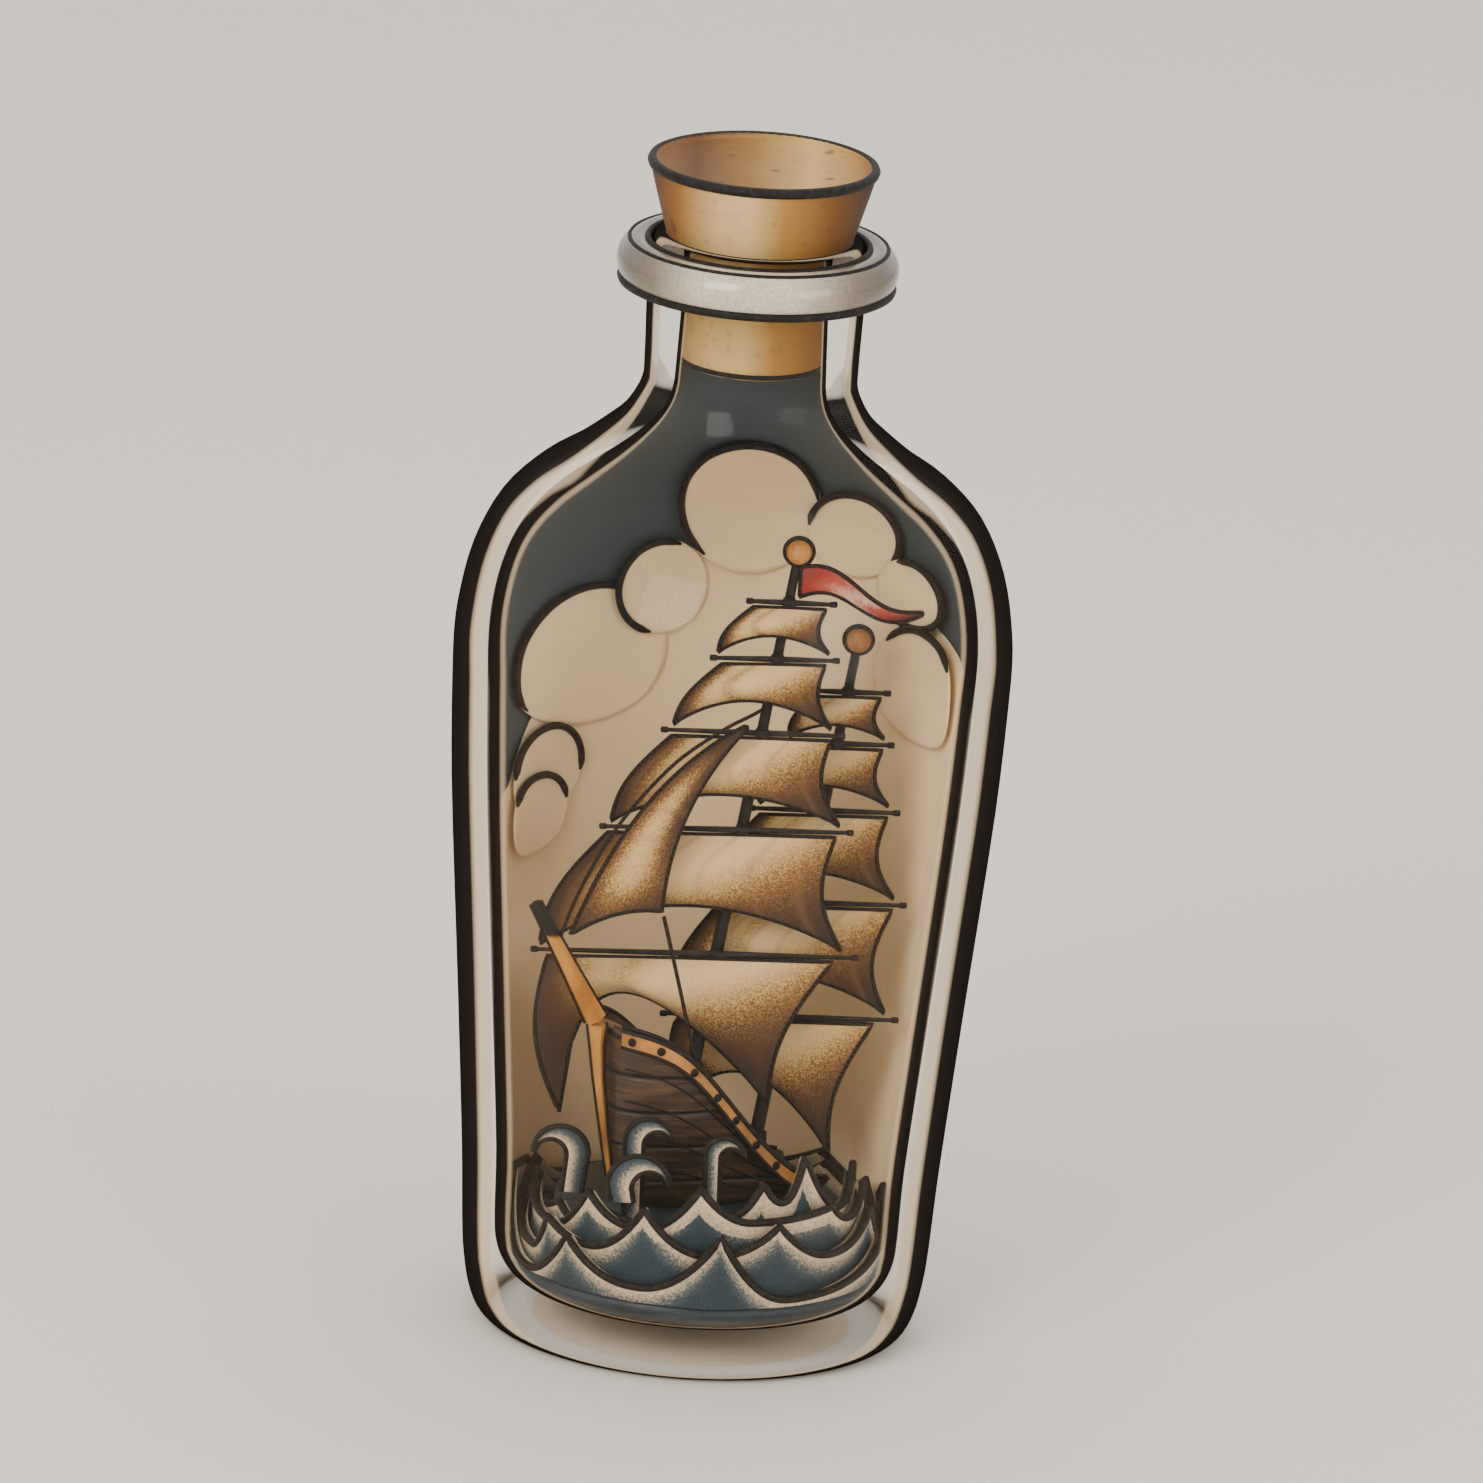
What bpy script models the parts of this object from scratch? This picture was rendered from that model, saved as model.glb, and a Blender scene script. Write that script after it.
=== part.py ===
"""Ship in a bottle: a corked glass bottle holding a two-masted square-rigged ship on a carved sea,
in front of cut-out clouds and a sky lining. Metres, +Z up, front towards -Y, base centre at the origin."""
import math

import bmesh
import bpy
from mathutils import Matrix, Vector

MM = 0.001
GAP = 0.3

# Bottle, all radii and heights in millimetres.
NECK_TOP = 197.0
BOTTLE_OUTER = [(18.7, NECK_TOP), (18.7, 173.0), (19.5, 169.8), (22.0, 165.6), (26.0, 161.9),
                (31.0, 157.9), (37.1, 153.7), (42.7, 147.7), (46.7, 138.9), (48.7, 128.6),
                (49.0, 120.4), (47.9, 97.2), (44.6, 59.0), (42.2, 30.0), (41.1, 13.0),
                (40.0, 6.0), (38.6, 2.2), (36.8, 0.4), (35.0, 0.0), (28.0, 0.0), (23.0, 1.6), (0.0, 2.6)]
BOTTLE_INNER = [(0.0, 7.0), (23.0, 7.0), (30.8, 7.6), (34.0, 10.0), (35.5, 14.5), (36.1, 29.6),
                (38.4, 57.0), (41.4, 93.2), (42.9, 121.3), (42.6, 129.6), (40.8, 137.8),
                (37.9, 143.9), (33.2, 149.3), (27.8, 153.6), (22.3, 157.9), (18.0, 161.9),
                (15.3, 165.2), (13.8, 168.4), (13.2, 172.5), (13.2, NECK_TOP)]
LIP_RING = [(19.0, 196.9), (21.2, 197.4), (23.2, 196.6), (24.5, 194.6), (24.6, 192.4),
            (23.7, 190.3), (21.7, 189.0), (19.0, 188.8)]
CORK = [(0.0, 209.9), (12.4, 210.0), (17.3, 210.7), (18.8, 211.7), (19.5, 211.3), (19.7, 210.2),
        (16.2, 198.0), (15.5, 197.3), (12.8, 197.3), (12.6, 176.2), (11.8, 175.2), (0.0, 175.2)]
TURN_STEPS = 40

# Sea.
SEA_PLATEAU = 22.0
SEA_LEDGE = 12.0
SEA_BASE = [(0.0, SEA_PLATEAU), (25.3, SEA_PLATEAU), (25.3, SEA_LEDGE), (34.1, SEA_LEDGE),
            (33.2, 10.2), (30.4, 8.2), (23.0, 7.4), (0.0, 7.4)]
# Each row: name, inner radius, outer radius, crests and troughs as (degrees from the front, height).
WAVE_ROWS = [
    ("wave_row_front", 32.0, 33.9, [(-136, 18), (-114, 23), (-93, 25.0), (-60, 12.9),
                                   (-42, 21.5), (-17, 15.1), (8, 25.6), (31, 13.6), (80, 19.0),
                                   (88, 14.6), (104, 24), (114, 20), (140, 24), (180, 18)]),
    ("wave_row_second", 29.8, 31.7, [(-140, 18), (-112, 24), (-65, 15.9), (-56, 22.5),
                                   (-37, 20.1), (-17, 28.8), (5, 21.3), (28, 26.5), (51, 19.7),
                                   (76, 24.5), (88, 19.0), (110, 24), (140, 18), (180, 22)]),
    ("wave_row_third", 27.6, 29.5, [(-130, 18), (-100, 24), (-61, 20.5), (-41, 28.9),
                                   (-21, 24.3), (1, 32.9), (21, 26.7), (54, 27.4), (68, 23.9),
                                   (84, 27.9), (100, 21.5), (130, 24), (165, 18), (200, 22)]),
    ("wave_row_inner", 25.7, 27.3, [(-150, 23), (-120, 18), (-64, 23.5), (-54, 22.0),
                                   (-37, 25.6), (-16, 24.3), (0, 28.9), (11, 27.0), (25, 33.1),
                                   (34, 29.2), (43, 36.9), (69, 25.4), (88, 30.5), (110, 19),
                                   (150, 23), (180, 18)]),
]
CREST_SHARPNESS = 2.2
# Each breaker: name, x, y, height of the curl's centre, curl radius, foot height, facing (+1 right).
BREAKERS = [
    ("breaker_port_bow", -9.1, -17.6, 37.4, 4.3, 22.3, 1),
    ("breaker_starboard_bow", -24.6, -8.6, 31.7, 4.9, 24.6, -1),
    ("breaker_middle", -10.5, -22.0, 30.7, 5.5, 27.6, 1),
    ("breaker_midship", 4.3, -16.0, 35.2, 3.4, 22.3, 1),
]
BREAKER_THICKNESS = 2.0

# Lining and clouds.
SKY_HALF_ANGLE = 92.0
SKY_LEVELS = [26.0, 57.0, 93.2, 121.3, 129.6, 137.8, 143.5, 148.5, 152.6, 156.9, 161.0, 164.4,
              167.9, 173.8]
SKY_INSET = 0.65
SKY_THICKNESS = 0.4
BANK_INSET = 1.35
CLOUD_THICKNESS = 0.3
BANK_FOOT = 31.0
BANK_TOP = [(-90, 90), (-71, 91.8), (-61, 100.8), (-32, 119.1), (-15, 127.3), (1, 138.0),
            (24, 140.7), (45, 132.0), (59, 123.1), (84, 118.7), (90, 110)]
# Each cloud: name, x, z, half width, half height, inset from the glass, tilt across, tilt up.
CLOUDS = [
    ("cloud_centre", 1.3, 139.5, 12.5, 14.0, 2.65, -0.6, 0.0),
    ("cloud_left_small", -13.2, 122.9, 7.9, 8.7, 2.75, -0.5, 0.0),
    ("cloud_left_big", -25.1, 111.5, 13.3, 12.8, 2.0, 0.0, 0.0),
    ("cloud_left_low", -31.5, 92.4, 6.2, 8.0, 2.4, 0.0, 0.35),
    ("cloud_left_foot", -32.8, 85.2, 5.4, 7.0, 3.1, 0.0, 0.0),
    ("cloud_right_high", 20.0, 136.1, 8.3, 8.4, 2.45, -0.4, 0.0),
    ("cloud_right_small", 30.5, 127.9, 5.8, 6.4, 2.85, 0.0, 0.25),
    ("cloud_right_big", 33.0, 112.1, 8.0, 10.3, 2.9, 0.0, 0.4),
]

# Ship. The centreline runs aft from the stem head at this heading.
HEADING = math.radians(58.0)
AFT = Vector((math.sin(HEADING), math.cos(HEADING), 0.0))
PORT = Vector((math.cos(HEADING), -math.sin(HEADING), 0.0))
STEM_HEAD = Vector((-17.8, -9.6, 0.0))
HULL_LENGTH = 43.0
HULL_BOTTOM = SEA_PLATEAU + GAP
HALF_BEAM = 11.0
BOW_FULLNESS = 13.0
BOW_POWER = 2.6
RAIL_AT_STERN = 25.3
RAIL_RISE = 31.2
RAIL_SWEEP = 1.25
BULWARK = 0.8
DECK_DROP = 2.2
STATIONS = [0.15, 0.6, 1.5, 2.6, 4.2, 6.5, 9.5, 13.0, 18.0, 24.0, 30.0, 36.0, 40.8, 42.3, HULL_LENGTH]
LEVELS = [0.0, 0.25, 0.5, 0.75, 1.0]

# Masts: foot point on the centreline, height of the pole's top, lean per millimetre of height.
LEAN = Vector((0.138, 0.096, 1.0))
FORE_FOOT = Vector((-2.5, -0.07, 44.9))
MAIN_FOOT = Vector((9.4, 7.28, 30.7))
FORE_TOP = 136.4
MAIN_TOP = 119.0
MAST_RADIUS = (1.25, 0.85)
HINGE_HEIGHT = 1.3
TRUCK_RADIUS = 2.3
YARD_RADIUS = 0.6
YARD_TIP_RADIUS = 0.36
YARD_FORWARD = 2.1
# Each yard: name, left x, left z, right x, right z.
FORE_YARDS = [
    ("fore_course_yard", -32.2, 65.9, 25.6, 68.1),
    ("fore_topsail_yard", -21.5, 88.6, 23.3, 90.3),
    ("fore_topgallant_yard", -11.8, 106.5, 20.7, 107.4),
    ("fore_royal_yard", -4.0, 119.8, 18.9, 120.7),
    ("fore_skysail_yard", 1.7, 130.3, 17.8, 130.6),
]
MAIN_YARDS = [
    ("main_course_yard", -8.8, 53.3, 33.4, 54.8),
    ("main_topsail_yard", -2.3, 74.1, 33.5, 75.4),
    ("main_topgallant_yard", 4.4, 91.0, 31.3, 91.8),
    ("main_royal_yard", 9.3, 103.2, 29.5, 103.8),
    ("main_skysail_yard", 13.3, 112.6, 28.3, 113.0),
]
# Each sail: name, yard above, yard below, head inset left and right, leech and belly depth, foot arch.
FORE_SAILS = [
    ("fore_topsail", 1, 0, 1.6, 3.2, 3.4, 3.0, 8.0),
    ("fore_topgallant_sail", 2, 1, 2.0, 2.6, 2.8, 2.6, 5.6),
    ("fore_royal", 3, 2, 2.2, 2.6, 2.1, 2.0, 5.0),
    ("fore_skysail", 4, 3, 1.4, 2.0, 1.9, 1.6, 3.4),
]
MAIN_SAILS = [
    ("main_topsail", 1, 0, 2.4, 2.6, 3.4, 3.0, 7.0),
    ("main_topgallant_sail", 2, 1, 2.2, 2.4, 2.8, 2.4, 5.0),
    ("main_royal", 3, 2, 2.0, 2.2, 2.2, 1.8, 3.8),
    ("main_skysail", 4, 3, 1.6, 1.9, 1.8, 1.4, 2.6),
]
FORE_COURSE_FOOT = ((-25.4, 36.3), (11.2, 40.0))
MAIN_COURSE_FOOT = ((-0.6, 40.9), (22.6, 29.5))
SAIL_THICKNESS = 0.35
SAIL_CLEARANCE = 1.05

# Stay, jib and pennant.
STAY_POINTS = [(-26.9, -14.9, 73.1), (-24.0, -12.5, 81.1), (-18.1, -9.3, 92.2), (-9.5, -5.2, 102.4),
               (-1.3, -1.6, 108.3), (3.8, 1.2, 110.7), (5.9, 4.9, 111.0)]
STAY_RADIUS = 0.22
JIB_LUFF = (Vector((2.8, 0.3, 109.0)), Vector((-15.8, -8.4, 100.0)), Vector((-25.2, -14.0, 73.3)))
JIB_LEECH = (Vector((3.5, 0.7, 108.8)), Vector((-9.1, -6.5, 95.4)), Vector((-9.5, -8.2, 76.8)))
SHEET_POINTS = [(-9.1, -8.5, 76.0), (-5.4, -10.4, 63.3), (-2.1, -12.0, 51.3)]
PENNANT_LENGTH = 21.6
PENNANT_HOIST = 4.9
PENNANT_HEIGHT = 133.2

# Bowsprit.
SPRIT_BUTT = Vector((-17.9, -9.6, 53.3))
SPRIT_TIP = Vector((-31.6, -15.8, 79.2))

COLLECTION = "ship_in_bottle"


def clear_scene():
    for item in list(bpy.data.objects):
        bpy.data.objects.remove(item, do_unlink=True)


def make_collection(name):
    group = bpy.data.collections.new(name)
    bpy.context.scene.collection.children.link(group)
    return group


def material(name, colour, roughness, metallic=0.0):
    found = bpy.data.materials.get(name)
    if found:
        return found
    made = bpy.data.materials.new(name)
    made.use_nodes = True
    shader = made.node_tree.nodes["Principled BSDF"]
    shader.inputs["Base Color"].default_value = (*colour, 1.0)
    shader.inputs["Roughness"].default_value = roughness
    shader.inputs["Metallic"].default_value = metallic
    return made


def glass_material():
    return material("bottle_glass", (0.62, 0.52, 0.38), 0.05)


def ring_material():
    return material("ring_opal", (0.49, 0.41, 0.27), 0.25)


def cork_material():
    return material("cork", (0.42, 0.22, 0.06), 0.85)


def sky_material():
    return material("sky_paper", (0.050, 0.062, 0.070), 0.8)


def cloud_material():
    return material("cloud_paper", (0.60, 0.44, 0.28), 0.85)


def sea_material():
    return material("sea_paint", (0.028, 0.041, 0.051), 0.45)


def hull_material():
    return material("hull_wood", (0.05, 0.03, 0.02), 0.6)


def deck_material():
    return material("deck_wood", (0.30, 0.19, 0.10), 0.7)


def gold_material():
    return material("gilded_wood", (0.31, 0.14, 0.033), 0.45)


def spar_material():
    return material("black_spar", (0.012, 0.009, 0.008), 0.5)


def sail_material():
    return material("sail_cloth", (0.45, 0.28, 0.13), 0.9)


def line_material():
    return material("tarred_line", (0.012, 0.009, 0.008), 0.8)


def pennant_material():
    return material("pennant_cloth", (0.30, 0.05, 0.035), 0.9)


def add_object(name, data, group, look):
    item = bpy.data.objects.new(name, data)
    data.materials.append(look)
    group.objects.link(item)
    return item


def mesh_from(bm, name):
    bmesh.ops.recalc_face_normals(bm, faces=bm.faces)
    mesh = bpy.data.meshes.new(name)
    bm.to_mesh(mesh)
    bm.free()
    return mesh


def turned(name, profile, group, look, ring=False, steps=TURN_STEPS):
    """A solid turned about the Z axis from a profile that runs down its outer side."""
    bm = bmesh.new()
    points = [bm.verts.new((r * MM, 0.0, z * MM)) for r, z in profile]
    for first, second in zip(points, points[1:]):
        bm.edges.new((first, second))
    if ring:
        bm.edges.new((points[-1], points[0]))
    mesh = bpy.data.meshes.new(name)
    bm.to_mesh(mesh)
    bm.free()
    item = add_object(name, mesh, group, look)
    screw = item.modifiers.new("turn", "SCREW")
    screw.axis = "Z"
    screw.steps = steps
    screw.render_steps = steps
    screw.use_merge_vertices = True
    screw.merge_threshold = 0.00001
    return item


def loft(name, sections, group, look, closed=False):
    """A solid skinned over sections with equal numbers of points, capped unless it closes on itself."""
    bm = bmesh.new()
    rings = [[bm.verts.new(Vector(point) * MM) for point in section] for section in sections]
    count = len(rings[0])
    pairs = list(zip(rings, rings[1:]))
    if closed:
        pairs.append((rings[-1], rings[0]))
    for ring, following in pairs:
        for index in range(count):
            step = (index + 1) % count
            bm.faces.new((ring[index], ring[step], following[step], following[index]))
    if not closed:
        bm.faces.new(rings[0])
        bm.faces.new(rings[-1])
    return add_object(name, mesh_from(bm, name), group, look)


def sheet(name, columns, rows, place, thickness, group, look):
    """A thin panel: place(u, v) gives the point of its middle surface, u and v from 0 to 1."""
    bm = bmesh.new()
    bmesh.ops.create_grid(bm, x_segments=columns, y_segments=rows, size=0.5)
    for vertex in bm.verts:
        vertex.co = Vector(place(vertex.co.x + 0.5, vertex.co.y + 0.5)) * MM
    mesh = bpy.data.meshes.new(name)
    bm.to_mesh(mesh)
    bm.free()
    item = add_object(name, mesh, group, look)
    solid = item.modifiers.new("thickness", "SOLIDIFY")
    solid.thickness = thickness * MM
    solid.offset = 0.0
    solid.use_even_offset = True
    return item


def bar(name, points, radii, group, look, resolution=1):
    """A round bar or line along points, with its radius at each point and closed ends."""
    curve = bpy.data.curves.new(name, "CURVE")
    curve.dimensions = "3D"
    curve.bevel_depth = MM
    curve.bevel_resolution = resolution
    curve.use_fill_caps = True
    spline = curve.splines.new("POLY")
    spline.points.add(len(points) - 1)
    for slot, point, radius in zip(spline.points, points, radii):
        slot.co = (*(Vector(point) * MM), 1.0)
        slot.radius = radius
    return add_object(name, curve, group, look)


def plate(name, outline, thickness, origin, group, look):
    """A flat outline in X and Z, given its thickness along Y."""
    curve = bpy.data.curves.new(name, "CURVE")
    curve.dimensions = "2D"
    curve.fill_mode = "BOTH"
    curve.extrude = thickness * MM / 2
    spline = curve.splines.new("POLY")
    spline.points.add(len(outline) - 1)
    for slot, (x, z) in zip(spline.points, outline):
        slot.co = (x * MM, z * MM, 0.0, 1.0)
    spline.use_cyclic_u = True
    item = add_object(name, curve, group, look)
    item.location = Vector(origin) * MM
    item.rotation_euler = (math.pi / 2, 0.0, 0.0)
    return item


def ball(name, centre, radius, group, look):
    bm = bmesh.new()
    bmesh.ops.create_uvsphere(bm, u_segments=14, v_segments=8, radius=radius * MM)
    mesh = mesh_from(bm, name)
    item = add_object(name, mesh, group, look)
    item.location = Vector(centre) * MM
    return item


def interpolate(table, x):
    for (x0, y0), (x1, y1) in zip(table, table[1:]):
        if x <= x1:
            return y0 + (y1 - y0) * (x - x0) / (x1 - x0)
    return table[-1][1]


def inner_radius(z):
    """Radius of the bottle's inside at a height."""
    return interpolate([(height, radius) for radius, height in BOTTLE_INNER[3:]], z)


def build_bottle(group):
    turned("bottle_glass", BOTTLE_INNER + BOTTLE_OUTER, group, glass_material())
    turned("lip_ring", LIP_RING, group, ring_material(), ring=True)
    return turned("cork_stopper", CORK, group, cork_material())


def crest_height(keys, angle):
    """Height of a wave row's edge: crests are sharp and troughs are round."""
    laps = [(a - 360, z) for a, z in keys] + keys + [(a + 360, z) for a, z in keys]
    for (a0, z0), (a1, z1) in zip(laps, laps[1:]):
        if a0 <= angle <= a1:
            part = (angle - a0) / (a1 - a0)
            if z0 > z1:
                return z1 + (z0 - z1) * (1.0 - part) ** CREST_SHARPNESS
            return z0 + (z1 - z0) * part ** CREST_SHARPNESS
    return keys[0][1]


def build_wave_row(name, inner, outer, keys, group):
    angles = set(range(-104, 105, 4)) | set(range(-168, -104, 16)) | set(range(120, 192, 16))
    for angle, _height in keys:
        angles.add((angle + 180) % 360 - 180 if angle != 180 else 180)
    sections = []
    for angle in sorted(angles):
        turn = math.radians(angle)
        across = math.sin(turn)
        front = -math.cos(turn)
        top = crest_height(keys, angle)
        sections.append([(outer * across, outer * front, SEA_LEDGE + GAP),
                         (outer * across, outer * front, top),
                         (inner * across, inner * front, top),
                         (inner * across, inner * front, SEA_LEDGE + GAP)])
    loft(name, sections, group, sea_material(), closed=True)


def build_breaker(name, x, y, z, radius, foot, facing, group):
    """A curling wave: an outer arc over a smaller inner arc that ends in a hooked tip."""
    outline = []
    for step in range(9):
        turn = math.radians(180 - 20 * step)
        outline.append((radius * math.cos(turn), radius * math.sin(turn)))
    for step in range(8):
        turn = math.radians(40 + 21 * step)
        outline.append((radius * (0.38 + 0.60 * math.cos(turn)), radius * (-0.10 + 0.60 * math.sin(turn))))
    outline.append((-0.12 * radius, foot - z))
    outline.append((-0.84 * radius, foot - z))
    outline = [(facing * px, pz) for px, pz in outline]
    plate(name, outline, BREAKER_THICKNESS, (x, y, z), group, sea_material())


def build_sea(group):
    turned("sea_base", SEA_BASE, group, sea_material())
    for name, inner, outer, keys in WAVE_ROWS:
        build_wave_row(name, inner, outer, keys, group)
    for name, x, y, z, radius, foot, facing in BREAKERS:
        build_breaker(name, x, y, z, radius, foot, facing, group)


def wall_point(angle, z, inset):
    """A point on the inside of the glass, an angle round from the back."""
    radius = inner_radius(z) - inset
    return (radius * math.sin(angle), radius * math.cos(angle), z)


def soft_limit(share):
    """Keeps a sideways share of the radius below one, easing in over its last tenth."""
    size = abs(share)
    if size > 0.9:
        size = 0.9 + 0.1 * (1.0 - math.exp(-(size - 0.9) / 0.1))
    return math.copysign(size, share)


def build_sky(group):
    def place(u, v):
        level = v * (len(SKY_LEVELS) - 1)
        low = min(int(level + 1e-6), len(SKY_LEVELS) - 2)
        z = SKY_LEVELS[low] + (SKY_LEVELS[low + 1] - SKY_LEVELS[low]) * (level - low)
        return wall_point(math.radians(SKY_HALF_ANGLE * (2 * u - 1)), z, SKY_INSET)
    sheet("sky_backdrop", 22, len(SKY_LEVELS) - 1, place, SKY_THICKNESS, group, sky_material())


def build_clouds(group):
    def bank(u, v):
        angle = 90.0 * (2 * u - 1)
        rise = 1.0 - (1.0 - v) ** 1.8
        z = BANK_FOOT + (interpolate(BANK_TOP, angle) - BANK_FOOT) * rise
        return wall_point(math.radians(angle), z, BANK_INSET)
    sheet("cloud_bank", 22, 9, bank, CLOUD_THICKNESS, group, cloud_material())

    for name, x, z, half_width, half_height, inset, across, up in CLOUDS:
        def puff(u, v, x=x, z=z, half_width=half_width, half_height=half_height,
                 inset=inset, across=across, up=up):
            a = 2 * u - 1
            b = 2 * v - 1
            side = a * math.sqrt(1 - b * b / 2)
            rise = b * math.sqrt(1 - a * a / 2)
            height = z + half_height * rise
            depth = inset + across * side + up * rise
            radius = inner_radius(height) - depth
            angle = math.asin(soft_limit((x + half_width * side) / radius))
            return wall_point(angle, height, depth)
        sheet(name, 6, 6, puff, CLOUD_THICKNESS, group, cloud_material())


def half_beam(s):
    """Half the ship's width at the rail, s millimetres aft of the stem head."""
    share = min(1.0, max(0.0, s) / BOW_FULLNESS)
    width = HALF_BEAM * (1.0 - (1.0 - share) ** BOW_POWER) ** (1.0 / BOW_POWER)
    if s > 26.0:
        width -= 3.2 * ((s - 26.0) / 20.0) ** 2
    return width


def rail_height(s):
    """Height of the rail: high at the bow, swooping down to the stern."""
    wave = 0.5 + 0.5 * math.cos(math.pi * min(s, 46.0) / 46.0)
    return RAIL_AT_STERN + RAIL_RISE * wave ** RAIL_SWEEP


def ship_point(s, side, z):
    return STEM_HEAD + AFT * s + PORT * side + Vector((0.0, 0.0, z))


def hull_width(s, level):
    """Half the hull's width at a share of the height from its bottom to the rail."""
    low = 0.25 + 0.38 * min(1.0, s / 16.0)
    return half_beam(s) * (low + (1.0 - low) * level ** 0.9)


def hull_section(s):
    """The hull's outline up to the deck's underside, its forefoot raked aft."""
    height = rail_height(s) - HULL_BOTTOM
    deck_level = 1.0 - DECK_DROP / height
    side = []
    for share in LEVELS:
        level = share * deck_level
        rake = 4.7 * (1.0 - level) ** 1.6 * max(0.0, 1.0 - s / 20.0)
        side.append((s + rake, hull_width(s, level), HULL_BOTTOM + height * level))
    port = [ship_point(a, b, c) for a, b, c in side]
    starboard = [ship_point(a, -b, c) for a, b, c in reversed(side)]
    return port + starboard


def build_bulwark(name, side, group):
    """The planking that stands above the deck along one side."""
    sections = []
    for s in STATIONS:
        top = rail_height(s)
        foot = top - DECK_DROP + GAP
        low = hull_width(s, 1.0 - (DECK_DROP - GAP) / (top - HULL_BOTTOM))
        high = half_beam(s)
        wall = min(BULWARK, 0.5 * low)
        sections.append([ship_point(s, side * high, top), ship_point(s, side * (high - wall), top),
                         ship_point(s, side * (low - wall), foot), ship_point(s, side * low, foot)])
    loft(name, sections, group, hull_material())


def build_hull(group):
    loft("hull", [hull_section(s) for s in STATIONS], group, hull_material())
    build_bulwark("bulwark_port", 1, group)
    build_bulwark("bulwark_starboard", -1, group)
    deck = []
    for s in STATIONS:
        if 1.0 < s < 42.5:
            top = rail_height(s) - DECK_DROP + GAP + 0.5
            width = hull_width(s, 1.0 - DECK_DROP / (rail_height(s) - HULL_BOTTOM)) - BULWARK - GAP
            deck.append([ship_point(s, width, top), ship_point(s, -width, top),
                         ship_point(s, -width, top - 0.5), ship_point(s, width, top - 0.5)])
    loft("deck", deck, group, deck_material())


def build_strake(name, side, group):
    """A gilded rubbing strake under the rail on one side, standing just off the hull."""
    sections = []
    count = 16
    for step in range(count + 1):
        share = step / count
        s = 0.7 + 36.3 * share ** 1.7
        slope = (half_beam(s + 0.05) - half_beam(s - 0.05)) / 0.1
        length = math.hypot(1.0, slope)
        top = rail_height(s) - 0.2
        corners = []
        for off, z in ((GAP, top), (GAP + 0.6, top), (GAP + 0.6, top - 3.0), (GAP, top - 3.0)):
            corners.append(ship_point(s - slope * off / length, side * (half_beam(s) + off / length), z))
        sections.append(corners)
    loft(name, sections, group, gold_material())


def build_bow(group):
    stem = [(-2.1, 56.3, 1.7), (-1.9, 52.5, 1.25), (-1.2, 46.5, 0.95), (0.0, 40.0, 0.8),
            (1.2, 33.5, 0.65), (3.1, 24.2, 0.45)]
    points = [ship_point(s, 0.0, z) for s, z, _radius in stem]
    bar("stem_post", points, [radius for _s, _z, radius in stem], group, gold_material())
    along = [(0.15, 2.0), (0.5, 1.5), (0.8, 1.15), (1.0, 1.0)]
    points = [SPRIT_BUTT.lerp(SPRIT_TIP, share) for share, _radius in along]
    bar("bowsprit", points, [radius for _share, radius in along], group, gold_material())


def mast_point(foot, z):
    return foot + LEAN * (z - foot.z)


def build_step(name, foot, group):
    """A tabernacle: two cheeks on a base, its underside following the deck's slope."""
    s = (foot - STEM_HEAD).dot(AFT)
    half = MAST_RADIUS[0] + GAP
    sections = []
    for reach in (-1.0, 1.0):
        slope = rail_height(s + reach) - rail_height(s)
        base = rail_height(s) - DECK_DROP + 2 * GAP + 0.5 + slope
        floor = foot.z - GAP
        centre = foot + AFT * reach
        outline = [(-half - 0.7, base), (half + 0.7, base), (half + 0.7, floor + 2.8), (half, floor + 2.8),
                   (half, floor), (-half, floor), (-half, floor + 2.8), (-half - 0.7, floor + 2.8)]
        sections.append([Vector((centre.x, centre.y, 0.0)) + PORT * across + Vector((0.0, 0.0, z))
                         for across, z in outline])
    loft(name, sections, group, spar_material())


def pivot(name, point, group):
    empty = bpy.data.objects.new(name, None)
    empty.empty_display_size = 0.01
    empty.location = Vector(point) * MM
    group.objects.link(empty)
    return empty


def hang(item, parent):
    """Parents an item to a pivot without moving it."""
    item.parent = parent
    item.matrix_parent_inverse = Matrix.Translation(-parent.location)


def build_yard(spec, foot, group):
    name, left, left_z, right, right_z = spec
    depth = mast_point(foot, (left_z + right_z) / 2).y - YARD_FORWARD
    middle = mast_point(foot, (left_z + right_z) / 2).x
    middle_z = left_z + (right_z - left_z) * (middle - left) / (right - left)
    points = [(left, depth, left_z), (middle, depth, middle_z), (right, depth, right_z)]
    return bar(name, points, [YARD_TIP_RADIUS, YARD_RADIUS, YARD_TIP_RADIUS], group, spar_material())


def sail_corners(spec, yards, foot):
    """Head and foot corners of a sail set between two yards."""
    _name, above, below, inset_left, inset_right = spec[:5]
    corners = []
    for index, drop in ((above, -SAIL_CLEARANCE), (below, SAIL_CLEARANCE)):
        _yard, left, left_z, right, right_z = yards[index]
        depth = mast_point(foot, (left_z + right_z) / 2).y - YARD_FORWARD
        corners.append(Vector((left + inset_left, depth, left_z + drop)))
        corners.append(Vector((right - inset_right, depth, right_z + drop)))
    return corners


def sail(name, corners, leech, belly, arch, skew, group):
    """A square sail filled from astern: its leeches and belly blow forward and its foot is arched."""
    head_left, head_right, foot_left, foot_right = corners

    def place(u, v):
        head = head_left.lerp(head_right, u)
        hem = foot_left.lerp(foot_right, u)
        hem.z += arch * max(0.0, math.sin(math.pi * u ** skew)) ** 0.8
        point = head.lerp(hem, v)
        fill = math.sin(math.pi * v)
        blow = leech * fill + belly * math.sin(math.pi * u) * (0.85 * fill + 0.45 * v * v)
        return point - AFT * blow
    return sheet(name, 8, 6, place, SAIL_THICKNESS, group, sail_material())


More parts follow.
